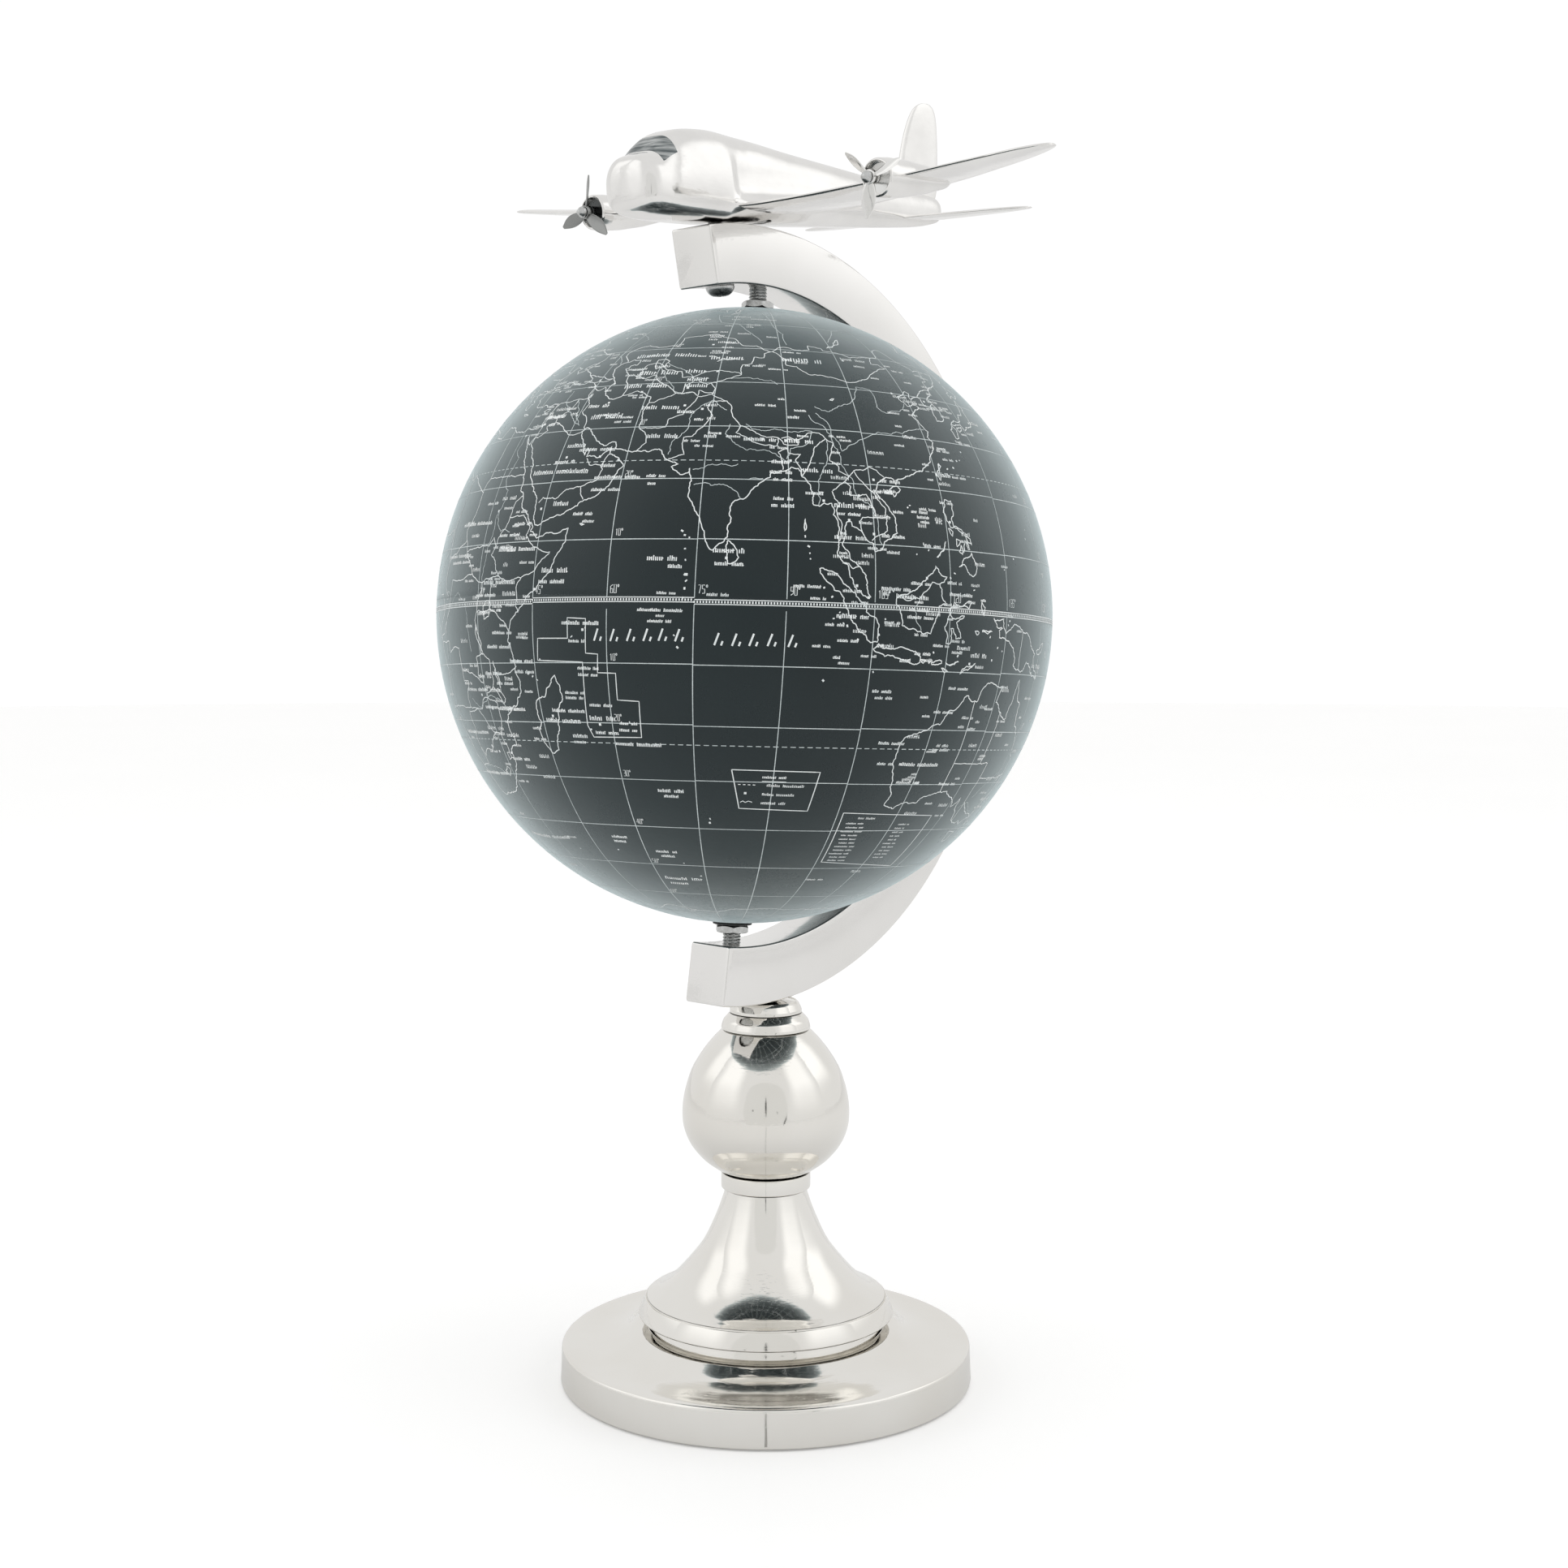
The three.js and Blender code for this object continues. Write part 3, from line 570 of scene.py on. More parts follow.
# Outline data: c coasts, b borders, r rivers, d capitals, i small islands; longitude latitude pairs.
MAP = """
c -5.9 35.8 -5.3 35.9 -4.3 35.2 -3 35.3 -2 35.1 0 35.9 1.5 36.5 3 36.9 5 36.8 7.5 37 9.8 37.3 11 37 10.5 36.4 10.6 35.4 10.2 34.3 11.1 33.2 13 32.9 15.2 32.3 16 31.3 18 30.7 19.5 30.4 20.1 31.5 21 32.7 23 32.6 25 31.7 27 31.2 29 30.9 30.3 31.5 31.1 31.5 32.3 31.2 34.2 31.3 34.9 32.8 35.6 34 35.9 35.5 36.2 36.6 34.6 36.7 33.7 36.2 32.6 36.1 31 36.8 30.4 36.3 29 36.5 27.5 36.8 27.2 37.9 26.3 38.4 26.8 39.1 26.2 40 27.5 40.4 29 40.6 29.1 41.1 31 41.2 32.3 41.7 33.3 42 35 42 36.1 41.6 38.5 41 40.2 41 41.5 41.5 41.6 42.5 39.7 43.5 37.4 44.8 36.7 45.3 38.2 46.8 39.2 47.2 37.5 46.9 35.3 46.2 35 45.6 36.4 45.4 35.4 45 33.7 44.4 32.6 45.4 33.6 46.1 31.5 46.6 30.5 46.2 29.6 45 28.6 44 28 43.2 27.7 42.5 28.2 41.5 29 41.2
c 28.9 41 27.5 40.9 26.7 40.5 25.8 40.9 24.4 40.9 24.1 40.2 23.3 40.2 22.8 40.5 22.7 39.8 23.3 39.2 22.9 38.9 24 38.2 24 37.7 23.1 37.8 23.2 37 22.8 36.5 22.3 36.6 21.7 36.8 21.2 37.8 21.3 38.4 20.7 39 20 39.7 19.4 40.4 19.5 41.5 18.5 42.4 17 43 15.5 43.9 14.6 45.2 13.6 45 13.6 45.7 12.4 45.4 12.4 44.3 13.6 43.6 14.1 42.5 15.2 41.9 16.1 41.9 16 41.4 18 40.7 18.4 39.9 17 40.5 16.6 39.8 17.1 39 16.5 38.4 15.7 37.9 16.1 38.7 15.8 39.8 15 40.2 14.3 40.8 12.6 41.5 11.1 42.4 10.3 43.2 9.8 44 8.8 44.4 7.5 43.8 6.5 43.1 4.8 43.4 3.2 43.1 3.2 41.9 2.1 41.3 0.8 41 -0.3 39.6 0.2 38.8 -0.7 37.7 -2.1 36.8 -4.4 36.7 -5.6 36 -6.3 36.7 -7.4 37.2 -8.9 37 -8.8 38.4 -9.5 38.7 -8.8 40.2 -8.8 41.8 -9.2 43 -8 43.7 -5.7 43.6 -3.5 43.5 -1.7 43.4 -1.2 44.6 -1.1 46 -2.2 47.2 -4.5 47.9 -4.7 48.4 -3 48.8 -1.6 48.7 -1.8 49.7 -1.2 49.3 0.2 49.5 1.6 50.4 2.5 51.1 3.6 51.5 4.5 52.2 4.8 53 7 53.5 8.5 53.9 8.8 54.3 8.2 55.5 8.3 57 9.6 57.3 10.6 57.7 10.3 56.6 10.8 56.3 9.7 55.5 10 54.8 11 54.1 12.5 54.4 14.2 54 16 54.3 18.5 54.8 19.7 54.4 21 55.3 21.1 57 22.5 57.7 24 57.1 24.4 58.3 23.5 59.2 26 59.6 28 59.5 30 59.9 28 60.5 25 60.2 22.9 59.9 21.4 60.8 21.5 62.5 23.5 64 25.4 65 24 65.8 22 65.6 21 64 19 63.2 17.5 61.7 17.2 60.7 19 59.8 17 58.7 16.5 57.3 16 56.1 14.3 55.5 13 55.4 12.6 56.3 11.8 57.7 11.2 59 10.5 59.3 9.6 58.9 8 58.1 6 58.4 5.4 59.5 5 61 6.5 62.6 9 63.6 11 64.7 13 66.3 15 68.2 18 69.6 21 70.2 25.7 71 28.5 70.8 31 70.3 30 69.8 33 69.3 37 68.7 41 67.6 41 66.5 38.5 66.1 34.5 66.5 33 66.6 34.8 65 34.8 64.3 37.5 63.9 36.5 64.8 38 64.8 40.5 64.6 39.8 65.6 42 66.4 44 66.2 44.2 67.5 43.5 68.5 46 68.3 46 67.5 48 67.6 53 68.6 54 68.2 58 68.9 60.5 69.7 64 69.3 68.5 68.3 67 69.6 67 71 69.5 72.9 72.5 72.8 72.8 71 72 69 73.7 67.8 71.5 66.3 74 67 74.5 68.5 74 70.6 76 71.3 78 72.3 80.6 72.6 80.5 73.6 87 74.9 92 76 99 76.3 104 77.7 107 76.5 112 76.4 113.5 75.5 110 74 113 73.7 119 73 123 73 127 73.5 129 71.5 133 71.4 139 71.5 140 72.5 146 72.3 152 71 160 69.7 161 69.5 168 69.8 171 69.9 170.5 69 176 69.7 180 69 184 67.6 188 66.9 190.1 66 187.5 64.4 184 65.4 181 65.4 177.5 64.7 179.5 62.5 175 61.9 170.5 60 166 60.2 164 59.9 163 58 162.2 56.3 163.2 54.7 160 53.2 158.2 51.9 156.7 51 155.7 54 155.9 56.8 158 58 161 60.5 164 62.4 160 61.8 157 61.7 154.5 59.9 151 59.2 147 59.4 142.5 59.3 138 56.5 135.3 54.7 138.5 53.8 141.3 53.2 140.5 50 140.3 48.3 138 46.3 135.5 44.4 132 43.2 130.7 42.3 129.7 41 127.5 39.8 128.4 38.5 129.4 37 129.3 35.4 127.5 34.6 126.4 34.5 126.6 36.5 126.7 37.7 125 37.8 125 39.5 124.3 39.9 121.6 38.9 121.2 39.6 122 40.5 121 40.9 119.5 39.8 118 39.2 117.7 38.6 118.8 37.8 119.2 37.1 121 37.7 122.6 37.3 120.5 36 119.2 34.9 120.3 34 121 32.6 121.9 31.7 121 30.5 122 29.5 121.5 28.3 120 26.6 119.5 25.5 118 24.5 116.7 23.3 114.5 22.6 113.5 22.2 111.5 21.5 110.4 21.2 110.3 20.3 109.8 21.4 108.4 21.6 106.7 20.6 105.8 19 106.5 17.9 108.2 16 109.2 13.8 109.4 12 108.2 11 106.8 10.4 106.5 9.5 105 8.7 104.8 10 103.5 10.6 102.6 12 101 12.7 100.9 13.4 100 13.3 99.8 11.8 99.2 9.5 100.3 8.4 100.6 7.2 102.1 6.2 103.3 4.8 103.5 2.8 104.2 1.4 103.5 1.3 101.3 2.9 100.4 5 100.1 6.4 98.3 8 98.5 10 98.7 12 97.7 14.5 97.5 16.4 96.2 16.4 95.3 15.8 94.3 16 94.3 18 93.7 19.6 92.3 21 91.8 22.3 90.5 22.5 89 21.7 87 21.5 86.8 20.6 85 19.5 83.3 17.7 82.2 16.6 80.3 15.8 80 14 80.3 13.2 79.8 11.5 79.9 10.3 79.2 9.4 78.2 8.8 77.5 8.1 76.5 9.3 75.6 11.7 74.7 13.8 73.5 16 72.8 18.8 72.8 20.5 72.4 22 72.2 21.1 70.8 20.8 69 22.2 70.2 22.7 68.8 23.2 67.3 24.1 66.6 25.3 64.5 25.2 61.6 25.2 59 25.5 57.3 25.8 56.9 27.1 54.7 26.5 52.5 27.5 51 28.8 50 30 48.8 30.4 48 29.6 48.7 28.2 50 26.7 50.2 25.5 50.8 24.8 50.9 25.7 51.3 26.1 51.6 25.3 51.4 24.5 54 24.2 55.4 25.3 56.3 26.3 56.4 24.8 58.7 23.6 59.8 22.5 58.5 20.3 57.8 19 56.3 17.9 55 17 52.2 15.6 49 14.1 46 13.4 44.9 12.8 43.5 12.7 43.2 13.3 42.8 15 42.6 16.6 41 18.6 39.1 21.2 38.5 23.6 37.2 25 35.3 27.5 34.7 28 35 29.5 34.3 27.8 33.3 28.8 32.6 29.9 32.7 29 33.6 27.8 34.5 26 35.5 24 37.2 21 37.4 19 38.6 18 39.2 15.8 41.2 14.6 43.1 12.4 42.7 11.6 43.5 11.4 44.5 10.4 47 11.2 50 11.6 51.2 11.9 50.8 9.4 49 6.2 47 3.6 44 1.2 42 -0.9 40.2 -2.6 39.2 -4.7 38.8 -6.5 39.5 -8 40 -10 40.6 -12.5 40.6 -15 39 -17 36.8 -18.2 34.8 -20 35.5 -23 35.4 -24.3 33 -25.3 32.8 -26.8 31.2 -29.5 29 -32 27.5 -33.3 25.7 -34 22 -34.2 20 -34.8 18.4 -34.1 18 -32.5 17.2 -30 16.3 -28.5 15 -26.5 14.5 -23 13.5 -20.5 11.8 -17.5 12 -15.5 13.5 -12.4 13.8 -10.7 13 -8.8 12.3 -6 11 -4 9 -1.3 9.4 0.5 9.8 2.5 9.5 4 8.6 4.7 7 4.4 5.9 4.4 4.6 6.3 2 6.3 0 5.6 -2 4.8 -4.5 5.2 -7.5 4.4 -9.5 5.6 -11.5 6.9 -13.2 8.5 -13.7 9.8 -15 11 -16.8 12.4 -16.8 13.5 -17.5 14.7 -16.4 16 -16.3 19 -17 21 -16 23.8 -14.5 26.2 -13 27.8 -11 28.8 -9.7 30 -9.8 31.4 -8.5 33.3 -6.8 34.2 -5.9 35.8
c 49.3 -12 50.4 -15.5 49.5 -17 48.8 -19.5 48 -22 47 -25 45.2 -25.6 43.7 -23.5 43.4 -21.5 44.4 -19.9 44 -18 44.2 -16.3 46.3 -15.7 48 -13.6 49.3 -12
c 80 9.7 81.3 8.5 81.9 7 81.1 6.2 80.2 6 79.8 8 80 9.7
c 95.3 5.6 97.5 5.2 99.7 3.2 101.4 2 103.2 0.4 103.5 -1 105.9 -2.9 105.8 -5.7 104.6 -5.8 102.3 -4 100.4 -1.2 99 1.7 97 3.3 95.4 4.9 95.3 5.6
c 105.2 -6.8 106.1 -5.9 108.5 -6.7 110.8 -6.4 112.7 -6.9 114.4 -7.8 114.4 -8.7 111 -8.3 108.5 -7.8 106.4 -7.4 105.2 -6.8
c 109 1.5 111.4 2.4 113 3.2 115 5 116.8 7 119.2 5.3 117.6 4.1 118 2.2 119 0.9 117.5 0.5 117.5 -0.8 116.5 -2.5 116 -4 114.6 -4.1 112 -3.4 110.2 -2.9 110 -1.3 109 0.3 109 1.5
c 119.8 0.1 120.8 1.3 123 0.9 124.8 1.6 125.1 1.4 124.3 0.4 121.5 0.5 120.1 0.3 120.1 -0.9 121 -1.4 123.3 -0.8 122 -1.7 121.5 -2 122.3 -3.4 122.8 -4.4 121.6 -4.6 121.5 -4 120.9 -3 120.3 -3 120.4 -5.4 119.5 -5.5 119.6 -3.9 118.9 -2.8 119.8 -0.9 119.8 0.1
c 120.6 18.5 122.2 18.4 122.2 16.5 121.5 15.2 121.7 14 124 13 123.6 12.9 122.6 13.6 121 13.7 120.3 14.8 119.8 16.2 120.4 17.3 120.6 18.5
c 122 7 123.4 8.6 125.4 9.7 126.5 7.5 126.2 6.3 125.4 5.7 124 6.8 123.4 7.6 122 7
c 122 11.8 123 11.4 122 10.5 122 11.8
c 123 10.9 123.2 9.2 122.4 9.7 123 10.9
c 124.3 12.5 125.5 12 125.7 11 124.7 11.5 124.3 12.5
c 124.4 11.4 125.1 10.2 124.7 10.2 124.4 11.4
c 124 11.2 123.4 9.5 123.7 10.4 124 11.2
c 117.2 8.4 119.5 11.3 119.2 10.5 117.2 8.4
c 120.4 13.5 121.4 13 121.2 12.2 120.4 13.5
c 121.5 25.3 121.9 24.8 120.9 22 120.1 23 121.5 25.3
c 108.7 19.4 110.5 20.1 111 19.6 109.5 18.2 108.7 19.4
c 130.9 33.9 132 33.2 131.4 31.4 130.2 31.2 129.8 33 130.9 33.9
c 132.5 33.8 134.5 34.2 134 33.3 132.9 32.8 132.5 33.8
c 130.9 34.1 132.8 35.4 135.7 35.6 136.8 37.3 138.5 37.3 139.7 38.8 140 40 141.2 41.4 142 39.5 141 38 140.8 35.7 139.8 34.9 138.7 34.7 136.8 34.4 135.7 33.5 135 34.5 132.3 34.2 130.9 34.1
c 140 41.5 141.7 42.6 143.2 42 145.4 43.3 143 44.5 141.9 45.4 141.6 43.3 140.3 43.2 140 41.5
c 142 46 143.5 46.8 143 49.3 143.5 52 142.7 54.3 142 52 142.1 48 142 46
c 131 -0.8 134 -0.8 134.2 -2.3 135 -3.3 137.8 -1.5 141 -2.6 144.5 -3.8 146 -5.4 147.7 -6.1 147.2 -7 148.5 -9 150.8 -10.4 147.8 -10 146 -8.5 144 -7.7 143 -9.2 141 -9.1 138.7 -8.3 139 -7.2 138 -5.5 135.5 -4.4 133 -4 132.8 -2.8 133.8 -2.4 132 -2.2 131 -0.8
c 113.7 -22.5 114.2 -21.8 116.8 -20.7 119 -20 121.5 -19 122.2 -18 122.9 -16.5 124.5 -16.3 126 -14.2 127 -13.9 128.3 -14.9 129.6 -14.9 130.3 -12.9 131 -12.2 132.6 -11.5 133.5 -11.8 135.2 -12.2 136.7 -12.1 136 -13.5 135.5 -14.9 137 -15.8 139.2 -17.4 140.9 -17.6 141.6 -14.5 142 -11.9 142.5 -10.8 143.5 -14 145.3 -15 146.2 -18.8 148.5 -20.2 150.8 -23.3 153 -25.3 153.2 -27.8 153.3 -29.5 152.5 -32.3 151 -34 150 -37.2 147.8 -38 146.3 -39.1 144.7 -38.2 143.5 -38.8 140.7 -38 139.6 -36.3 138.5 -35.6 138.1 -34.3 137.8 -32.8 136.8 -34.3 135.9 -34.9 135.2 -33.7 134 -32.8 131.2 -31.5 128 -31.9 126 -32.3 124 -33 123.5 -33.9 120 -33.9 118 -35.1 115.2 -34.3 115.7 -31.8 114.6 -29 113.5 -26.3 113.7 -24 113.7 -22.5
c 144.7 -40.8 148.2 -40.8 148 -43 146.2 -43.5 145.2 -42.2 144.7 -40.8
c 172.8 -34.5 174.8 -36.5 178.5 -37.7 177 -39.5 175.2 -41.6 173.8 -39.3 174.7 -37.5 172.8 -34.5
c 172.7 -40.6 174.2 -41.7 172.8 -43.7 170.7 -46 168.4 -46.6 166.6 -46 168.5 -44 171.4 -42 172.7 -40.6
c 114.5 -8.2 115.6 -8.4 115.1 -8.8 114.5 -8.2
c 116 -8.4 116.6 -8.4 116.3 -8.8 116 -8.4
c 116.8 -8.6 119 -8.3 119 -8.7 117 -9 116.8 -8.6
c 119.9 -8.5 122.9 -8.3 121 -8.9 119.9 -8.5
c 119.1 -9.5 120.7 -10 119.9 -10.2 119.1 -9.5
c 123.6 -10.3 125 -9 127.1 -8.4 126 -9.2 123.6 -10.3
c 127.6 1.8 128.5 0.8 128.2 -0.6 127.6 0.5 127.6 1.8
c 128 -3 130.8 -3.1 129.5 -3.5 128 -3.2 128 -3
c 126.1 -3.2 127.2 -3.4 126.7 -3.8 126.1 -3.2
c 92.8 13.6 93 12.2 92.7 11.6 92.7 12.8 92.8 13.6
c 53.4 12.6 54.5 12.5 53.8 12.3 53.4 12.6
c 148.4 -5.6 151 -4.4 152.3 -4.2 151.3 -5.8 149.5 -6.2 148.4 -5.6
c 154.7 -5.4 155.9 -6.6 155.2 -6.3 154.7 -5.4
c 164 -20.2 167 -22.3 166.2 -22.2 164 -20.2
c -5.5 50.1 -3.5 50.4 -1 50.7 1.4 51.2 1.7 52.7 0.2 53 -1.5 55 -3 56 -2 57.6 -4 57.7 -3.2 58.6 -5 58.6 -6 56.6 -5 55 -3 54 -4.5 53.3 -4.3 52.5 -5.2 51.8 -3 51.4 -5.5 50.1
c -6 52.2 -6 53.5 -5.6 54.6 -7.5 55.3 -10 54.2 -9.3 53.1 -10.3 51.8 -8 51.8 -6 52.2
c -22.5 64 -18.5 63.4 -13.7 65 -16 66.5 -20.5 65.8 -22.5 66.4 -24.3 65.5 -22.5 64
c 11 79.6 16 76.7 21 78.3 26 80 17 80 11 79.6
c 51.6 71.5 56 70.7 56.5 72.4 60 75.2 68.5 76.8 60 76 55 74.6 52.5 72.8 51.6 71.5
c 12.5 38 15.5 38.2 15.1 36.7 12.5 37.6 12.5 38
c 8.3 40.9 9.7 40.9 9.6 39.2 8.4 39 8.3 40.9
c 9.4 43 9.4 41.5 8.6 42.2 9.4 43
c 23.6 35.5 26.3 35.2 24.7 34.9 23.6 35.5
c 32.4 35.1 34.5 35.6 33.5 34.6 32.4 35.1
c 47.5 45.5 49 46.3 51 47 53 46.8 53 45.3 51.2 45.2 51 44.4 50.3 44.4 51.5 43.2 52.7 42.5 52.8 41.2 53.8 39.9 53.8 37 51.5 36.6 49.5 37.5 48.9 38.5 49.4 40.2 50.2 40.4 49 41.5 47.5 43 46.8 44.5 47.5 45.5
c 58.3 46.5 60 46.7 61.6 46 61 44.4 59 43.8 58.3 44.8 58.3 46.5
c 103.9 51.7 106 52.2 108.5 53.5 109.9 55.6 108.8 55 107 53.1 103.9 51.7
c 73.8 45.5 75 46.7 79 46.7 75.5 46.3 73.8 45.5
c 31.7 -0.5 33.5 0.4 34.2 -0.3 33.5 -2.2 32 -2.6 31.7 -0.5
c 29.2 -3.3 29.9 -5 31 -8.5 30.4 -8.2 29.3 -5.5 29.2 -3.3
c 34 -9.6 34.7 -12 35.1 -14.3 34.3 -12.2 34 -9.6
c 99.6 36.7 100.7 37.1 100.2 36.6 99.6 36.7
c 44.8 37.4 45.6 38.2 45.4 37.3 44.8 37.4
c -168 65.6 -166.5 68.3 -163 69.3 -156.5 71.3 -150 70.5 -141 69.6 -135 69.3 -128 70.3 -123 69.7 -115 68.3 -108 68 -101 67.8 -95 68 -94 71.5 -91.5 69.6 -88 68.5 -85 69.5 -82 69.5 -81.5 67.5 -86 66.3 -87.5 64.5 -93 62 -94.5 60 -94.5 58.7 -92.5 57 -88 56.5 -82.3 55.2 -82 53 -80 51.3 -79 52.5 -79.5 54.7 -76.7 57 -78.5 58.8 -77.5 60.5 -77.5 62.5 -73.5 62.4 -70 61 -69.5 59 -66 58.8 -64.5 60.3 -62 57.5 -58 54.7 -55.7 52.5 -58.5 51.3 -60 50.3 -66 50.2 -69 48.5 -65 48.9 -64.8 47.8 -65 46.5 -61.5 45.6 -64 44.5 -66 43.6 -66.5 45 -70 43.8 -70.7 42 -70 41.7 -74 40.6 -75.5 39 -76 37 -75.6 35.2 -78 33.9 -81 31.9 -81.3 30 -80 27 -80.4 25.2 -81.8 26.1 -82.8 28 -84 30 -86 30.3 -89.5 30.2 -89.3 29.2 -91.5 29.4 -94.5 29.5 -97.2 27.7 -97.4 25.5 -97.7 22.5 -96 19.2 -94.5 18.2 -91.8 18.5 -90.5 20.8 -87.2 21.5 -87.8 18.5 -88.8 16 -86 15.9 -83.3 15 -83.6 12 -82.5 9.3 -79.8 9.4 -77.3 8.6 -75.5 10.5 -71.7 12.4 -71.5 11 -68.3 11 -65 10.1 -62 10.7 -60 8.5 -57.3 6 -54 5.8 -51.5 4.3 -50 1 -48.5 -1 -44.3 -2.8 -40 -2.9 -37 -4.9 -35.2 -6 -35 -9 -37.5 -12 -39 -13.3 -39.2 -17 -40.5 -21 -42 -23 -45 -23.6 -48.5 -25.9 -48.8 -28.5 -52.2 -32.2 -54.9 -34.9 -58.4 -34.3 -56.8 -36.4 -58 -38.2 -62.3 -39 -65 -41 -65.2 -43 -67.3 -45.8 -65.8 -47.5 -69.2 -50.5 -68.5 -52.5 -65.2 -54.8 -69 -55.3 -72 -54 -75 -52 -75.5 -48.5 -74.5 -45 -73 -41.8 -73.6 -37.2 -71.5 -33 -71.5 -29 -70.3 -25 -70.1 -20 -71.5 -17.5 -76.2 -14 -77 -12 -79 -8.3 -81.2 -6 -80.3 -3.4 -81 -1.5 -80 0.8 -78.5 2 -77.3 4 -77.5 6.7 -78.3 8.3 -79.5 8.9 -80.5 7.4 -83 8.2 -85.7 10 -87.7 13 -91.5 14 -94.5 16.2 -99.5 16.7 -105.5 20.2 -105.5 22.5 -109 25.5 -112.5 29.5 -114.8 31.8 -113 28.5 -110.5 24.5 -110 22.9 -112.2 25 -115 28 -116.2 30.5 -117.2 32.6 -120.6 34.5 -122.5 37.8 -124.3 40.4 -124 45 -124.6 48.3 -122.5 48.8 -127.5 51 -130.5 54.8 -133.5 58.3 -139.5 59.7 -145 60.3 -149 59.8 -152 59.3 -151 61.2 -154 58.5 -158 56.3 -163 54.8 -160 56 -157.8 58.4 -162 58.8 -165.5 61 -164.5 63 -161 64.5 -165 64.5 -168 65.6
c -73 78.2 -60 76.3 -54 71.5 -52 69 -53.5 66.5 -51 63 -48 61 -44 60 -42.5 62.5 -40 65 -32 68.2 -24 70.3 -20 74 -18 77 -12 81.3 -33 83.5 -60 82 -68 80.2 -73 78.2
c -80 73.6 -75 72.5 -68 70 -62 67 -65 65 -66 62.5 -71 62.9 -74 64.6 -73 68 -78 70 -87 70.5 -89 73 -80 73.6
c -117 69.3 -105 69 -105 72.8 -117 73 -117 69.3
c -78 76.5 -88 77 -92 81 -63 82.6 -76 78.5 -78 76.5
c -55.5 51.6 -53 47 -59 47.7 -55.5 51.6
c -84.8 21.9 -80 23.1 -74.3 20.2 -77.5 19.9 -84.8 21.9
c -74.4 18.5 -73 19.9 -68.5 18.6 -71.5 17.8 -74.4 18.5
c -78.3 18.3 -76.3 18.1 -77.5 17.9 -78.3 18.3
c -67.2 18.4 -65.7 18.3 -66.5 18 -67.2 18.4
c -61 -52 -58 -51.6 -59 -52.3 -61 -52
c -92 47 -88 48.8 -84.5 46.7 -88 46.5 -92 47
c -87.8 41.8 -87.6 44.5 -85 46 -86.2 43 -87.8 41.8
c -84 46 -80 45.5 -82 43.5 -83.5 44 -84 46
c -83 41.6 -79 42.8 -81.5 41.6 -83 41.6
c -125 66 -120 67 -122 65.2 -125 66
c -117 61.5 -110 62.5 -114 61 -117 61.5
c -99 53.5 -97.5 50.5 -96.5 51.5 -99 53.5
c -180 -78 -165 -78 -150 -77 -135 -74.5 -120 -74 -100 -73 -85 -73 -74 -72 -68 -70 -65 -66 -58 -63.5 -62 -67 -61 -73 -72 -77 -60 -78.5 -35 -78 -25 -75 -10 -71 10 -70 30 -69.3 40 -69 52 -66 60 -67.3 70 -68.5 75 -69.5 85 -66.6 100 -66 115 -66.5 130 -66.2 145 -67 160 -69.5 170 -71.5 165 -77 180 -78
b 68.2 23.7 70 24.3 71 24.5 70.4 27.8 72 28 73.9 30.1 74.6 31.2 75.3 32.3 74 34 74.5 35.2 77.8 35.5
b 61.6 25.2 63.2 26.8 62.8 28.3 60.9 29.8 66.3 29.9 66.5 31.5 69.3 32.5 70 34 71.2 35.5 71.5 36.5 74.5 37.1
b 74.5 37.1 76 36.2 77.8 35.5 78.9 34.3 79.2 32.6 81 30.2 83.5 29.2 86 28 88.2 28
b 81 30.2 80.2 28.8 82.8 27.5 85 26.6 88 26.4 88.2 28
b 88.2 28 89 27.3 89.2 26.8 92 26.8 91.8 27.8 90 28.3 88.8 27.9
b 91.8 27.8 94 29.2 96.2 29.3 97.3 28.3 95.1 26.5 94.2 24 93.2 22 92.5 21
b 89 22 88.7 24.2 88.2 25.2 89.8 26 90 25.2 92.3 25 91.3 23.8 92.3 22.2 92.4 20.8
b 97.3 28.3 98.7 27.5 98 25.2 97.7 24 99.3 23 99.2 22.2 101.1 21.4
b 97.7 18.5 98.9 16.3 98.3 15.2 99.2 13 99 11 98.7 10.2
b 101.1 21.4 100.1 20.3 97.8 18.6
b 100.1 20.3 101.2 19.5 101 17.9 102.6 18 104 18.3 104.8 16.5 105.6 14.4 103 14.3 102.4 13.5 102.8 11.8
b 101.1 21.4 102.1 22.4 103.1 20.8 104.9 19 105.6 18.5 107.5 16 107.5 14.5 107.5 12.3 106 11.5 104.5 10.5
b 105.6 14.4 107.5 14.6
b 102.1 22.4 103.9 22.6 105.3 23.3 106.7 22.8 108 21.6
b 99.2 6.6 100.3 6.6 101 5.8 102.1 6.2
b 109.6 2 111 1.1 113.5 1.5 115 3 116 4.3 117.7 4.1
b 74.5 37.1 74.9 38.5 73.8 39.8 76 40.4 80.2 42 80.3 44.8 82.5 45.2 83 47.2 85.5 47.1 85.6 48.4 87.8 49.2
b 87.8 49.2 91 46.8 90.9 45.2 93.5 44.9 96.3 42.8 101.5 42.6 105 41.6 109.3 42.4 112 43.6 113.8 44.8 116 45.8 117.4 46.6 119.7 46.9 118 48 115.6 47.9 116.7 49.8
b 87.8 49.2 89.5 50.6 92.3 50.8 94.5 50.1 98.2 50.5 98.2 52 102 51.4 102.3 50.6 106 50.3 110 49.2 113 49.6 116.7 49.8 119.3 50.2 120.9 53.1 123.8 53.5 127.3 50 130.8 48.7 131 47.7 134.7 48.3 133.1 45.2 131.3 44.9 131 43 130.6 42.4
b 130.6 42.4 128 42 126.5 41.6 124.3 39.9
b 126.7 37.8 128.4 38.6
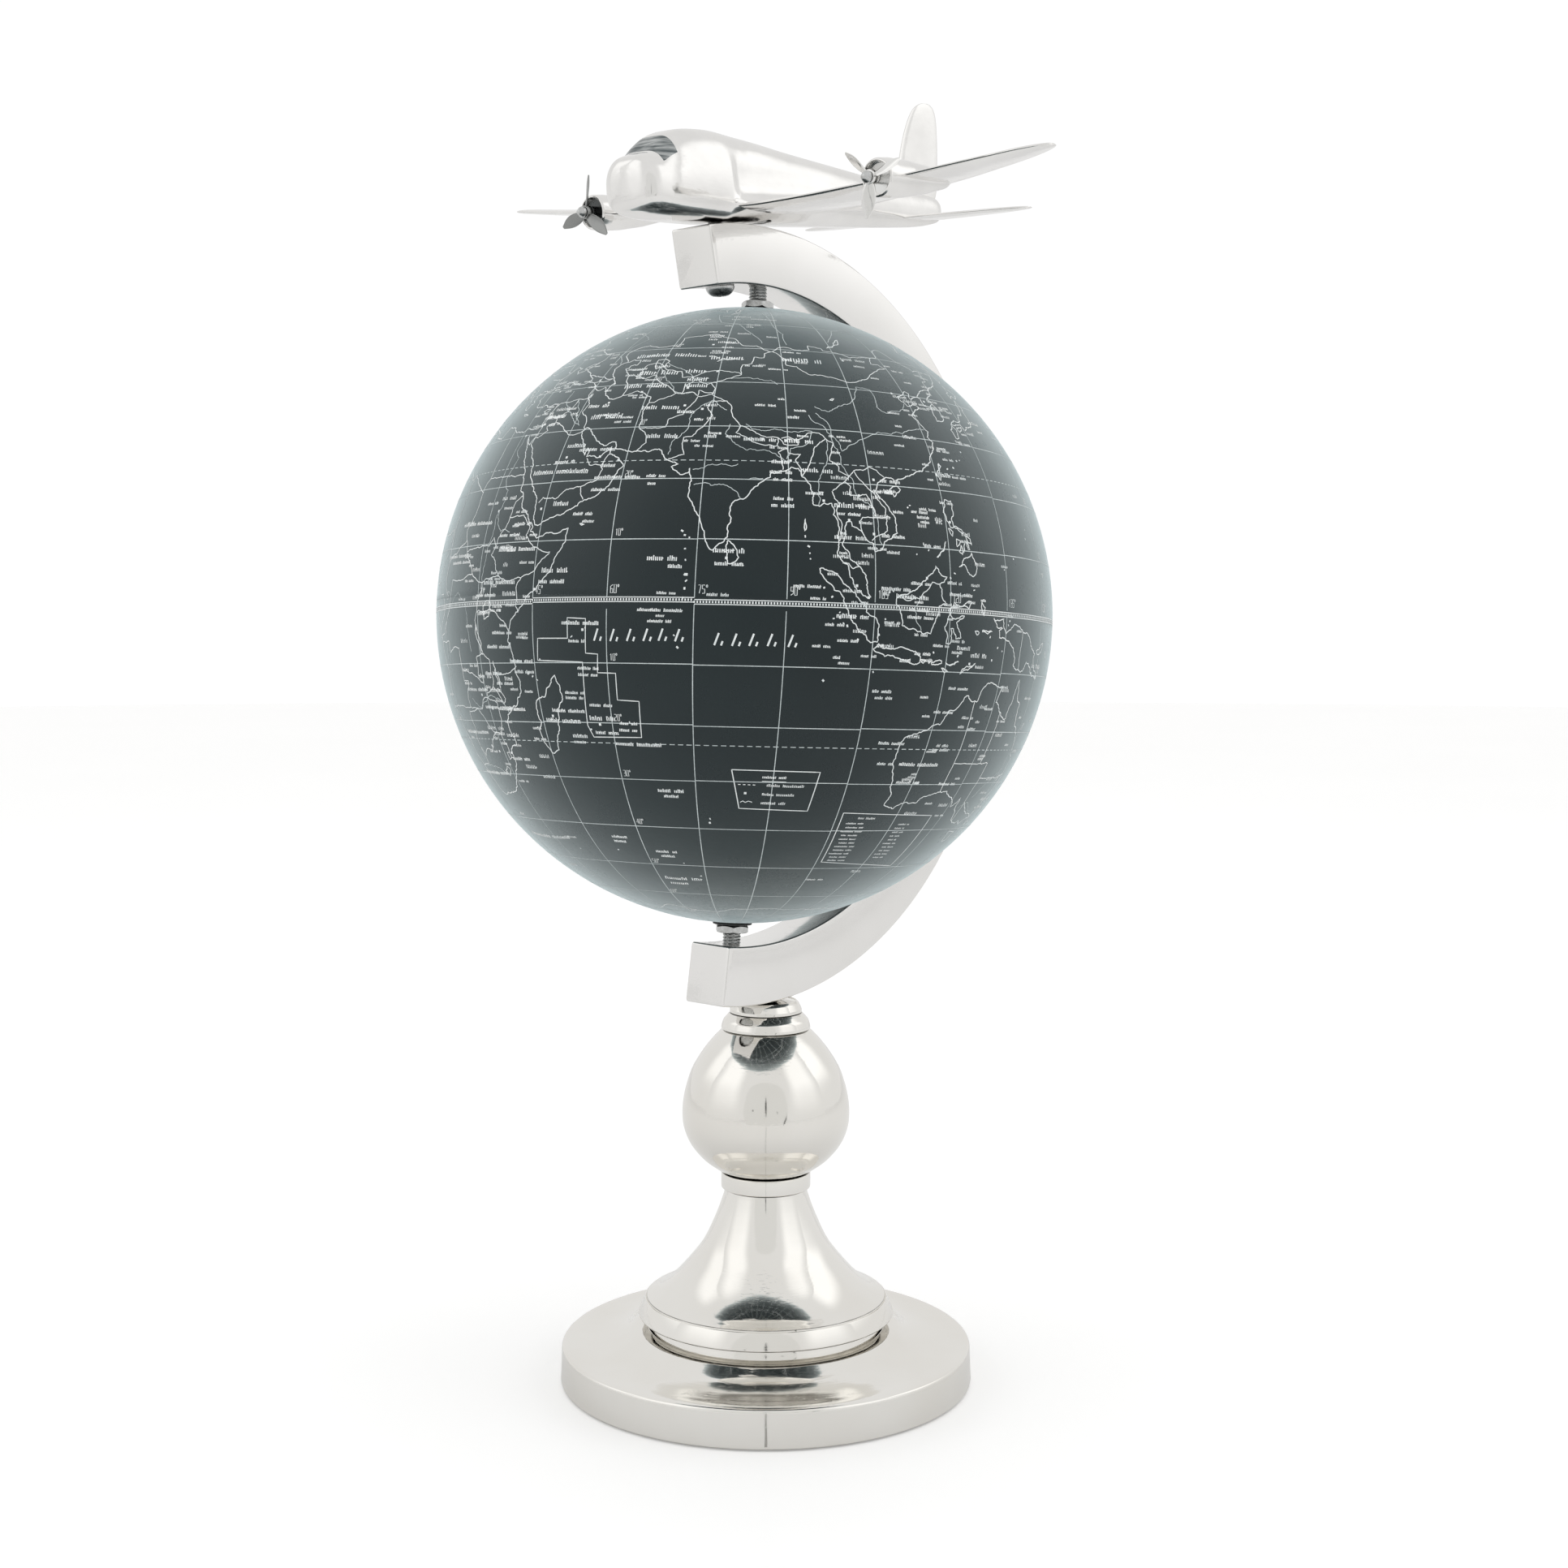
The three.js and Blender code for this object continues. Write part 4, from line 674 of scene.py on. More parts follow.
b 49.2 46.5 47 48.3 46.8 49.5 48.6 50.7 52 51.6 55.5 50.7 58.5 51 61.5 51 61.5 53.8 65.5 54.5 70.8 55.3 73.6 54 77 53.4 80 50.9 83.5 51 87.3 49.1
b 52.5 42.1 54 42.3 56 41.4 56 45 58.5 45.6 61 44.3 62 43.5 66 42.9 66.7 41.3 69 41.4 70.9 42.3 73.5 43 77 42.9 80.2 42.2
b 54 42.3 57 41.3 60 42.2 60.5 41.2 62.4 40 64.5 38.9 66.5 37.4 67.8 37.2
b 53.9 37.3 57.2 38.2 59.3 37.5 61.1 36.6 61.2 35.3 62.3 35.3 64.5 36.3 66.5 37.4
b 67.8 37.2 68 39 70.5 40.9 71 40.2 73 39.5 73.8 39.8
b 67.8 37.2 70 37.6 71.5 36.7 71.4 38 73.3 37.4 74.9 37.3
b 61.2 35.3 60.5 33.5 61 31.3 60.9 29.8
b 44.8 39.7 44.4 38 44.8 37.2 46.2 35.8 45.5 34 47.8 32 48 30.5 48.5 30
b 48.5 30 46.5 29.1 44.7 29.2 42 31.1 39.2 32.1 38.8 33.4 41 34.4 42.3 37.2 44.8 37.2
b 42.3 37.2 40.2 36.8 38 36.8 36.7 36.6 36.2 35.9
b 39.2 32.1 37 31.5 38 30.5 36 29.2 35 29.4 35.5 31.8 35.7 33.2 36.5 34.2
b 35.7 33.2 38.8 33.4
b 43.2 16.5 44 17.4 47 17 49 18.6 52 19 53.1 16.7
b 52 19 55 20 55.7 22 55.2 22.7 52.6 22.9 51.6 24.2
b 55.2 22.7 55.8 24.2 56.4 24.9
b 41.5 41.5 43.5 41.1 44.8 39.7 46.5 38.9 48 39.7 48.9 38.4
b 40 43.4 43 42.9 46.5 41.9 48.5 41.8
b 43.5 41.1 46.5 41.2 48.5 41.8
b 25 31.6 25 22 31.5 22 36.9 22
b 25 22 24 20 24 15.7 22 13 22.9 11 24 9
b 24 9 27.9 9.6 32 9.6 33 11 34.1 9.5 34.3 10.6 36 12.7 36.5 14.3 37 17 38.6 18
b 36.5 14.3 38.5 14.5 40.2 14.5 42.4 12.5
b 42.4 12.5 41.8 11 42.8 10 44 9 47 8 48 8 45 5 43 4.4 41.9 3.9 39 3.5 36 4.4 35 5.4 34 7.5 33 8 34.1 9.5
b 41.9 3.9 41 2.8 41 -0.8 41.6 -1.7
b 34 4.2 34 1.2 33.9 -1
b 30.8 3.5 34 4.2 36 4.4
b 33.9 -1 37.6 -3 39.2 -4.7
b 24 9 27.4 5 30.8 3.5 31.2 2.2 29.7 0.1 29.5 -1.5 30.4 -1.1 33.9 -1
b 29.5 -1.5 29 -2.7 29.4 -4.5
b 30.8 -8.3 28.6 -9 28.4 -12 29.8 -12.2 29.8 -13.4 27 -12 24 -11 22 -11.1 22 -13 24 -13 22 -16 22 -17.6
b 31 -8.3 32.9 -9.4 33.3 -13 32.8 -14
b 34.6 -11.6 37.5 -11.7 40.4 -10.5
b 34.5 -14.4 35.9 -16 35.2 -17 34.3 -15.6 32.8 -14 30.3 -15 30.4 -16 33 -16.8 33 -19.8 31.3 -22.4
b 30.4 -16 28.8 -16 27 -17.9 25.3 -17.8 22 -17.6 17 -17.4 14 -17.4 11.8 -17.3
b 25.3 -17.8 27.5 -20.5 29.4 -22.2 27 -23.7 25.5 -25.6 22.7 -25.4 20.8 -26.8 20 -24.8 20 -28.4 16.5 -28.6
b 29.4 -22.2 31.3 -22.4 31.9 -24.3 32 -26.8 31 -27.2 31 -25.9 31.9 -25.9
b 32 -26.8 32.8 -26.8
b 20 -24.8 20 -22 21 -22 21 -18.3 25.3 -17.8
b 27 -29.6 28.6 -28.6 29.4 -29.4 28 -30.6 27 -29.6
b 12.3 -6 16.5 -5.9 17 -8 20 -7 21.8 -7.3 22 -11.1
b 12 -5 14 -4.5 16.2 -2.2 17.7 0 18.6 3.5 18.6 4.4 22 4.2 27.4 5.1
b 11.3 2.2 13.3 2.2 14.5 -1 13 -2.4 11.2 -3.9
b 16 2 14.5 5 15.5 7.5 19 9 22.9 11
b 8.6 4.8 10.5 7 13.2 9.5 14.2 12.8 13.5 13.7 9 12.8 4 13.5 3.6 11.7 2.7 6.4
b 15.5 7.5 15 10 14.2 12.8 15.5 16.9 16 23.4 14.2 22.6 9.5 26 9.5 30.2 11.5 33.1
b 16 23.4 24 19.5
b 11.9 23.5 5.5 19.2 3 19 4.2 16.5 0 15 -2 14 -5 10.4 -3.2 9.9 -2.8 5.1
b -5 25 -6.5 21 -5.5 15.5 -11.5 15.2 -12 12.4 -8 10.2 -8.3 7.6 -7.5 4.4
b -8.7 27.4 -5 25 3 19
b -13 27.7 -8.7 27.4 -8.7 28.8 -3 31.8 -1.3 32.3 -2 35
b 8.5 36.9 7.5 33.8 9.5 30.2
b -8.9 41.9 -6.5 41.9 -7 39.5 -7.4 37.3
b -1.8 43.4 0.7 42.8 3.2 42.4
b 2.6 51 5.8 49.5 8.2 49 7.6 47.6 6 46.4 7 45 7.5 43.8
b 7 53.3 6.5 51.5 6 50 5.8 49.5
b 7.6 47.6 9.6 47.5 13 47.6 12.8 48.8 12.1 50.4 14.8 51 14.3 53.9
b 10.5 46.9 13.7 46.5 16 46.8 17.1 48 15 49 12.8 48.8
b 14.8 51 18.8 49.5 22.5 49.1 24 50.8 23.6 52.5 23.8 54 20 54.4
b 17.1 48 20 48.2 22.8 48.1 21 46.1 18.8 45.9 16.3 46.5
b 22.8 48.1 26.6 48.2 28.2 45.5 29.6 45.3
b 22.7 44.2 25.5 43.7 28.5 43.8
b 23.6 51.5 27.5 51.5 31.5 52 33.5 52.3 35 51.2 38 50 40 49.5 39.7 47.9 38.2 47.1
b 31.5 52 31 54.8 28.2 56.1 27.7 57.4 28 59.4
b 20.6 69.1 24 68 23.7 65.9
b 12 61.5 14 64 16 67 20.6 69.1 26 69.8 28.8 69.6 29 66.9 31.5 62.8 27.8 60.5
b 12 61.5 11.5 59.2
b 141 -2.6 141 -9.1
b 129 -14.9 129 -31.6
b 138 -16.6 138 -26 141 -26 141 -38
b 129 -26 138 -26
b 141 -29 149 -29 153.5 -28.2
b 141 -34 144 -36 148 -36.7 150 -37.5
b -141 69.6 -141 60.3 -135 59 -130 55
b -122.8 49 -95.2 49 -89.5 48 -84.5 46.6 -82.5 45.3 -82.5 42 -79 43 -75 45 -71.5 45 -69 47.4 -67.8 45.8
b -117.2 32.5 -111 31.3 -106.5 31.8 -103 29 -99.5 27.5 -97.2 25.9
b -92.2 14.6 -90.5 16.1 -91 17.3 -89.2 17.8 -88.3 18.5
b -77.4 8.6 -77.9 7.2
b -72 11.8 -72.5 8 -67.5 6 -67 1.2 -69.5 1 -70 -4.2 -75 0 -78.8 1.4
b -67 1.2 -63 2 -60.5 5 -60 8.2
b -59.8 5 -57.3 6
b -70 -4.2 -73 -7 -70.5 -9.5 -69.5 -11 -68.5 -12.5 -69.5 -17.5 -70.3 -18.3
b -69.5 -11 -65.3 -10 -60 -14 -58 -17 -58 -20 -62.5 -22.2 -66.5 -22 -68 -23 -69.5 -17.5
b -58 -20 -55.7 -22.3 -54.5 -25.5 -58.5 -27.2 -57.7 -25.3 -62.5 -22.2
b -54.5 -25.5 -53.7 -27 -57.6 -30.2 -58.2 -33.5
b -57.6 -30.2 -53.3 -33.6
b -68 -23 -70 -30 -70.5 -36 -71.8 -42 -72 -48 -72.3 -51 -68.5 -52.3
r 79 30.5 78.2 28.5 80.3 26.5 82.5 25.4 85.2 25.5 87.8 24.8 90.3 23.3
r 82 30.6 85 29.3 90 29.3 94.8 29.6 94 27.3 90.5 26 89.7 24
r 78 33.5 75 35.8 73 34.6 71 32.5 70.5 29 68.3 27 68 24.5
r 96 33.5 98.5 31 99.5 28 100.3 26 104 28.3 107 29.6 111 30.3 114.5 30.6 117 31.5 120.8 32
r 96 35 99 34 101.5 35.5 104 36.2 106 38.5 107 40.5 110.5 40.2 110.5 36 112.5 34.8 116 35.5 118.5 37.6
r 94.5 33 97.5 30.5 98.8 27 99.8 23.5 101.8 20.5 102.2 18 104.8 16.3 105.8 14 105.8 12 106.3 10
r 97.5 28 97.3 25 96 21.5 95.2 18.5 95.2 16
r 31.2 30.2 31 27 32.7 25.5 31.5 21.5 33.5 19.3 32.6 15.6 32.3 12 31.5 9.3 31 4.8 32 1.8
r 32.6 15.6 34.5 12 37.3 11.7
r 38.5 39.5 38.5 36.8 40.5 34.8 43.5 32.8 46.5 31
r 42 37.3 43.7 35 44.4 33.2 46.5 31
r 85 52 82.5 55 77 60 70 61 66.5 66
r 92 51.8 91.8 56 89 60 87 66 83 70
r 105.5 54 111 59.5 119 61 126 62.5 126.5 67 126 71.5
r 47.5 45.8 44.5 48.5 46 51.5 49 54 44 56.3 38 57.5
r 59.5 44.5 62.5 41.5 66 37.8 70 37.5
r 61.5 45.5 66 43.5 69.5 40.8 73 41
r 73.5 19 76.5 18.9 79.3 18.9 81.7 16.8
r 81 22.8 78 22.8 75 22 73 21.7
r 83 20 85.5 20.3
r 15 -5 15.5 -4 18.5 0 22 2.2 25 0.5 26 -3.5 27 -8
r 36 -18.5 33.8 -16 30.5 -15.7 27 -17.7 24 -16
r 17 -28.6 21 -28.5 24.5 -29 27 -30
r 3 6.5 6.5 8 4 12 0 16.5 -4.5 15.5 -9 11
r 139.5 -35.2 142 -34 146 -36 147 -36
r 143 -33 146 -30 150 -27
r -50.5 -0.5 -55 -2.2 -60 -3 -65 -3.5 -70 -4.3 -74 -5
r -90 29.5 -91 33 -89.5 37 -90.5 41 -94 46
r -90 38.7 -95 39.5 -98 43.5 -104 48 -111 47.5
r -135 69 -130 66 -123 61.5 -114 61
r -58.5 -33 -57.5 -28 -56 -24 -50 -20
r 114 -3.5 112.5 0 113.5 1.3
r 78 41 83 41 87 40.8 88.5 39.8
d 77.2 28.6 73 33.7 69.2 34.5 51.4 35.7 44.4 33.3 46.7 24.6 54.4 24.4 58.5 23.6 44.2 15.4 38.7 9 45.3 2 36.8 -1.3 39.2 -6.8 32.5 15.6 31.2 30 90.4 23.7 85.3 27.7 89.6 27.5 96.1 16.8 100.5 13.7 102.6 18 105.8 21 104.9 11.6 101.7 3.1 103.8 1.3 106.8 -6.2 121 14.6 114.9 4.9 116.4 39.9 106.9 47.9 69.2 41.3 71.4 51.2 74.6 42.9 68.8 38.6 58.4 37.9 44.8 41.7 44.5 40.2 49.9 40.4 37.6 55.8 79.9 6.9 47.5 -18.9 32.6 -25.9 28.3 -15.4 31 -17.8 28.2 -25.7 25.9 -24.7 35.2 31.8 35.9 32 36.3 33.5 32.9 39.9 139.7 35.7 127 37.5 125.8 39 121.5 25 149.1 -35.3 147.2 -9.5 -77 38.9 -99.1 19.4 -47.9 -15.8 -58.4 -34.6 2.3 48.9 -0.1 51.5 12.5 41.9 13.4 52.5 -3.7 40.4 21 52.2 30.5 50.5 57.5 -20.2 55.5 -4.6 73.5 4.2 43.2 -11.7 125.6 -8.6
i 73.2 4.2 73.5 3.2 73.3 2 73.1 0.5 73.2 6.5 72.8 10.5 73.6 10.1 72.3 11.2 73 8.3 93.6 8 93.7 7.1 93.4 9.1 92.8 10.7 57.6 -20.3 55.5 -21.1 63.4 -19.7 55.5 -4.6 56 -4.3 53.3 -5.7 46.3 -9.4 43.3 -11.6 44.2 -12.2 45.2 -12.8 105.6 -10.5 96.9 -12.1 72.4 -7.3 71.8 -5.4 77.6 -37.8 77.5 -38.7 51.7 -46.4 69.5 -49.3 73.5 -53.1 37.7 -46.9 97.9 -2.2 99 -2 98.9 -1.2 99.6 -2.9 100.3 -3.3 102.3 -5.4 97.5 1.2 96.1 2.6 129.5 28.3 128 26.5 127 26.3 130.3 30.4 123.5 24.4 125.3 24.8 112 16.5 112.5 16.9 114.5 10.5 115.5 9.5 113 8.7 134.5 7.4 138.1 9.5 144.8 13.5 145.7 15.2 151.8 7.4 158.2 6.9 163 5.3 171.2 7.1 168 9 159.9 -9.4 157.5 -8.1 161.5 -10.3 167.5 -15.4 168.3 -17.7 178 -17.8 179.2 -16.7 -155.5 19.6 -156.4 20.8 -158 21.5 -159.5 22 -149.5 -17.6 -171.8 -13.8 -175.2 -21.1 -109.4 -27.1 -91 -0.6 -14.4 -8 -5.7 -16 -17 28.3 -15.5 28 -25.5 37.8 -24 15 147.5 44.8 150 46 153 48 155 50 106 -4.5 108 -3 107 -2 108.3 2.5 106.3 3 117 -7 122.5 -7.4 131.5 -7.8 134.3 -6.2 125.6 3.5 126.8 4.3 121 6 120 5.2 136 -1.1 135.6 -1.8 130.3 -4 132.8 -5.7
"""
# Places of greeked labels: longitude latitude width height (mm).
LABELS = (
    "69.3 6.3 9.1 1.50;71.4 5.0 4.7 1.12;80.3 7.9 9.2 1.50;80.4 5.7 8.3 1.19;49.4 4.1 9.6 1.52;48.9 2.2 9.7 1.21;59.8 48.4 20.2 2.00;95.4 47.7 12.4 1.99;"
    "52.6 32.6 11.3 1.84;64.2 34.4 11.8 1.66;66.2 28.2 9.5 1.48;46.2 21.6 21.7 1.58;59.0 20.3 14.9 1.18;66.5 20.5 5.9 1.00;65.8 19.1 3.0 0.99;57.3 18.0 9.7 1.07;"
    "48.4 15.6 6.4 1.48;53.7 13.7 6.8 1.04;54.9 12.4 4.4 0.95;39.9 7.8 16.3 1.26;89.1 17.1 5.8 1.04;89.0 15.9 6.7 1.19;95.2 22.6 9.7 1.53;101.2 16.6 10.9 1.61;"
    "100.6 15.1 7.0 1.03;94.4 18.4 5.8 1.14;100.7 11.1 9.9 1.39;108.6 11.8 7.6 1.09;93.3 2.6 8.0 0.96;95.2 0.7 4.7 0.88;101.2 -1.9 9.9 1.33;98.2 -3.4 5.8 0.96;"
    "100.6 -5.9 6.4 0.96;100.1 -9.6 3.9 0.89;107.8 -14.0 6.3 0.99;108.3 -15.1 5.8 0.92;69.3 -2.2 13.4 0.96;69.3 -3.1 2.9 0.81;69.3 -4.0 7.2 0.88;70.3 0.6 5.7 0.81;"
    "78.8 0.6 6.4 0.95;55.0 -4.6 12.7 1.20;54.3 -7.6 5.6 0.98;41.8 -11.2 9.8 1.24;42.3 -13.0 8.3 1.01;36.0 -8.8 11.4 1.09;37.2 -6.4 9.4 1.00;56.3 -12.1 7.1 0.91;"
    "56.2 -13.2 6.6 0.92;51.2 -19.5 11.8 1.12;49.7 -21.3 12.8 1.46;53.0 -17.2 6.3 0.94;53.2 -16.3 6.9 0.94;58.2 -18.3 7.5 1.02;58.2 -20.6 8.6 1.44;58.7 -23.1 7.5 1.14;"
    "63.2 -21.3 5.6 0.96;63.0 -22.5 5.6 0.97;52.7 -23.9 5.8 1.25;52.4 -25.0 4.7 1.01;64.6 -25.0 14.2 1.16;35.2 -28.9 8.5 1.18;21.8 -32.2 17.7 1.39;33.0 -19.4 14.3 1.15;"
    "37.0 -19.6 12.8 1.15;69.9 -33.6 7.9 1.20;69.7 -34.7 4.9 1.03;54.0 -44.6 6.0 1.16;53.6 -45.7 4.8 1.19;26.8 -46.3 23.9 1.45;65.7 -47.7 6.8 1.23;65.5 -48.9 4.8 1.15;"
    "67.7 -55.6 11.7 1.56;65.4 -57.2 6.5 1.49;111.9 -23.0 8.9 0.99;111.8 -26.8 5.5 1.03;119.8 -26.8 15.2 1.21;118.7 -30.3 8.7 1.09;129.9 -30.5 7.9 1.02;121.7 -17.1 7.8 0.95;"
    "123.8 -23.9 6.8 1.01;124.0 -12.9 8.2 0.93;113.8 -1.4 9.2 1.05;113.4 -0.2 6.8 0.97;112.1 1.9 11.2 1.35;113.7 4.2 6.9 0.98;108.9 3.0 9.7 1.05;122.5 2.9 9.4 1.07;"
    "109.2 21.6 6.7 1.20;107.2 19.5 6.5 1.17;114.4 16.5 5.9 0.98;114.9 15.6 4.8 0.97;115.2 14.8 3.6 0.97;116.4 10.7 6.1 1.02;111.3 -8.6 4.4 1.35;114.8 -7.4 5.8 0.90;"
    "121.6 24.0 6.9 1.45;123.6 29.4 4.4 1.19;91.2 33.0 3.9 1.19;75.3 28.3 4.3 1.20;69.6 33.4 5.9 1.31;69.2 43.4 7.0 1.77;70.2 41.2 6.9 1.67;70.3 39.6 7.9 1.61;"
    "60.4 43.1 13.1 2.00;58.7 39.7 14.3 1.88;49.2 35.1 7.6 1.41;76.3 47.4 9.8 1.83;46.7 23.4 7.8 1.26;56.5 22.5 5.5 1.22;48.0 26.6 7.6 1.50;53.3 25.7 12.7 1.28;"
    "84.8 28.0 9.4 1.28;92.2 28.1 8.7 1.65;88.4 23.8 5.6 1.21;88.7 21.9 6.6 1.18;89.0 20.5 5.6 0.99;37.5 10.3 9.4 1.13;40.4 12.2 7.3 1.05;29.8 16.3 6.1 0.96;"
    "25.6 12.8 19.5 1.20;20.5 7.2 18.7 1.17;21.8 6.0 14.2 0.99;36.1 2.2 15.5 1.40;32.4 -0.0 10.9 1.09;33.6 -13.4 8.7 1.11;36.6 -15.1 8.0 1.03;26.9 -16.3 13.3 1.14;"
    "21.1 -24.2 17.8 1.24"
)

# ------------------------------------------------------------------ base and stem
turned("pad", fillets([(0, 0), (63.4, 0, 0.5), (63.4, 1.6, 0.2), (0, 1.6)]), M_FELT, "stand", ["base_pad"], "felt", SEG, closed=False)
flare = spline([(64, 12.62), (60, 12.7), (56, 12.95), (53, 13.35), (50, 14.0), (48, 14.65), (46.2, 15.5), (44.7, 16.4), (43.4, 17.15), (42.0, 17.6), (40.5, 17.8), (39.2, 17.85)], 5)
turned(
    "disc",
    fillets([(4.5, 9.2), (13, 9.2), (13, 1.65), (64, 1.65), (64, 0.5), (67.55, 0.5, 0.9), (67.15, 12.5, 1.1)] + flare + [(38.9, 17.7), (38.9, 14.9), (4.5, 14.9)], 8),
    M_STAND, "stand", ["base_disc"], "polished_stand", SEG,
)
turned(
    "step",
    [(4.5, 14.93), (38.6, 14.93)] + spline([(38.65, 15.05), (38.6, 16.4), (38.3, 18.0), (37.9, 19.5), (37.6, 21.0)], 5) + [(37.3, 21.2), (4.5, 21.2)],
    M_STAND, "stand", ["step_ring"], "polished_stand", SEG,
)
curve = spline([(39.3, 27.35), (37.4, 28.15), (34.6, 29.6), (30.4, 33.0), (25.8, 38.0), (21.05, 44.0), (17.95, 50.0), (15.45, 56.0), (14.0, 60.2), (13.45, 62.1)], 7)
turned(
    "bell",
    fillets([(36.4, 21.23), (42.25, 21.23, 0.5), (39.75, 27.2, 0.3)], 5) + curve + [(4.5, 62.5), (4.5, 59), (10.6, 59), (14.2, 50), (18.4, 42), (25.4, 33), (36.4, 25)],
    M_STAND, "stand", ["bell_foot"], "polished_stand", SEG, angle=24,
)
turned("collar", fillets([(4.5, 62.53), (14.78, 62.53, 0.5), (14.78, 67.7, 0.5), (4.5, 67.7)], 6), M_STAND, "stand", ["stem_collar"], "polished_stand", SEG)
onion = spline([(13.8, 67.75), (16.93, 69.5), (20.95, 72.5), (24.77, 77), (27.02, 82), (27.65, 87), (27.29, 92), (26.13, 97), (24.3, 102), (21.27, 107), (18.17, 111), (15.7, 113.6), (14.25, 114.82)], 7)
turned(
    "bulb",
    [(4.5, 67.73)] + onion + [(4.5, 114.85), (4.5, 111.5), (14.4, 110.4), (21.6, 100.5), (24.4, 88), (20.6, 75.6), (15.6, 71.4), (4.5, 71)],
    M_STAND, "stand", ["stem_bulb"], "polished_stand", SEG, angle=40,
)
turned(
    "cap_low",
    [(4.5, 114.88)] + fillets([(14.2, 114.88), (14.8, 115.1, 0.2), (14.75, 115.9, 0.5), (14.1, 118.0, 3), (12.6, 119.6, 1.5), (11.9, 120.18)], 5) + [(4.5, 120.2)],
    M_STAND, "stand", ["cap_ring_lower"], "polished_stand", SEG,
)
turned(
    "cap_up",
    [(4.5, 120.23)] + fillets([(11.5, 120.23), (12.0, 120.5, 0.2), (11.9, 121.4, 0.5), (11.0, 123.4, 1.8), (9.5, 124.8, 0.3)], 5) + [(4.5, 124.85)],
    M_STAND, "stand", ["cap_ring_upper"], "polished_stand", SEG,
)
for cad in ("tie_rod", "tie_rod_washer", "tie_rod_nut"):
    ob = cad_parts[cad]
    ob.data.materials.clear()
    ob.data.materials.append(M_ZINC)

# ------------------------------------------------------------------ arm
def arm_mesh():
    """Rounded bar bent to the arc, with eased ends."""
    edge = 0.75
    w, h = ARM_W / 2, (ARM_RO - ARM_RI) / 2
    mid = (ARM_RO + ARM_RI) / 2
    ring = []
    for cx, cy, a0 in ((w, h, 0), (-w, h, 90), (-w, -h, 180), (w, -h, 270)):
        for k in range(5):
            t = rad(a0 + 22.5 * k)
            sx, sy = (1 if cx > 0 else -1), (1 if cy > 0 else -1)
            ring.append((cx - sx * edge + edge * math.cos(t), cy - sy * edge + edge * math.sin(t)))
    n = 260
    stops = []
    per_mm = 180 / math.pi / mid
    ease = [(edge - edge * math.sin(rad(a)), edge - edge * math.cos(rad(a))) for a in (90, 67, 45, 22, 0)]
    for a, inset in [(edge * (1 - math.cos(rad(q))), edge * (1 - math.sin(rad(q)))) for q in (0, 22.5, 45, 67.5, 90)]:
        stops.append((ARM_BOTTOM + a * per_mm, inset))
    lo, hi = ARM_BOTTOM + edge * per_mm, ARM_TOP - edge * per_mm
    for k in range(1, n):
        stops.append((lo + (hi - lo) * k / n, 0.0))
    for a, inset in [(edge * (1 - math.cos(rad(q))), edge * (1 - math.sin(rad(q)))) for q in (90, 67.5, 45, 22.5, 0)]:
        stops.append((ARM_TOP - a * per_mm, inset))
    verts = []
    for deg, inset in stops:
        c, s = math.cos(rad(deg)), math.sin(rad(deg))
        kx, ky = (w - inset) / w, (h - inset) / h
        for y, r in ring:
            q = mid + r * ky
            verts.append((q * c, y * kx, q * s))
    m = len(ring)
    faces = []
    for k in range(len(stops) - 1):
        for i in range(m):
            j = (i + 1) % m
            faces.append((k * m + i, k * m + j, (k + 1) * m + j, (k + 1) * m + i))
    faces.append(tuple(range(m))[::-1])
    last = (len(stops) - 1) * m
    faces.append(tuple(last + i for i in range(m)))
    return verts, faces


v, f = arm_mesh()
arm = build("crescent", v, f, M_ARM, "stand", ["arm"], "polished_arm", move(GLOBE_X, 0, GLOBE_Z), angle=None)
outward(arm)
for k in (1, -1):
    cv, cf, _ = lathe([(0, 122.9), (5.3, 122.9), (5.3, 131), (0, 131)], 48)
    m = T_GLOBE if k > 0 else T_GLOBE @ turn(180, "X")
    c = build("cutter", cv, cf, M_ARM, None, matrix=m, angle=None, smooth=False)
    outward(c)
    cut(arm, c)

# ------------------------------------------------------------------ globe shells
RO = GLOBE_R
def half_globe(sign):
    n = 84
    a1 = math.degrees(math.acos(5.1 / RO))
    pts = [(97.4, 0.02)]
    pts.append((RO - 0.05, 0.02))
    for k in range(n + 1):
        a = rad(0.05 + (a1 - 0.05) * k / n)
        pts.append((RO * math.cos(a), RO * math.sin(a)))
    inner = [(97.6 * math.cos(rad(a)), 97.6 * math.sin(rad(a))) for a in (87.0, 70, 50, 30, 12)]
    pts += inner
    v, f, _ = lathe(pts, 256, True)
    if sign < 0:
        v = [(x, -y, -z) for x, y, z in v]
    return v, f


for sign, node, name in ((1, "globe_shell_north", "map_north"), (-1, "globe_shell_south", "map_south")):
    v, f = half_globe(sign)
    ob = build(name, v, f, M_MAP, "globe", [node], "map_shell", T_GLOBE, angle=None)
    outward(ob)
    ob.data.set_sharp_from_angle(angle=rad(40))

# ------------------------------------------------------------------ the printed map
rnd = random.Random(11)


def on_globe(lon, lat, pasted=True):
    """Point on the unit globe; the paper gores sit slightly low and turned, as they were pasted."""
    if pasted:
        lat += math.cos(rad(lat)) * (-0.6 + 1.15 * math.sin(rad(lon - 75))) + 0.93 * math.sin(rad(2 * lat))
    a, b = rad(lon + MAP_TURN), rad(lat)
    return np.array([math.cos(b) * math.cos(a), math.cos(b) * math.sin(a), math.sin(b)])


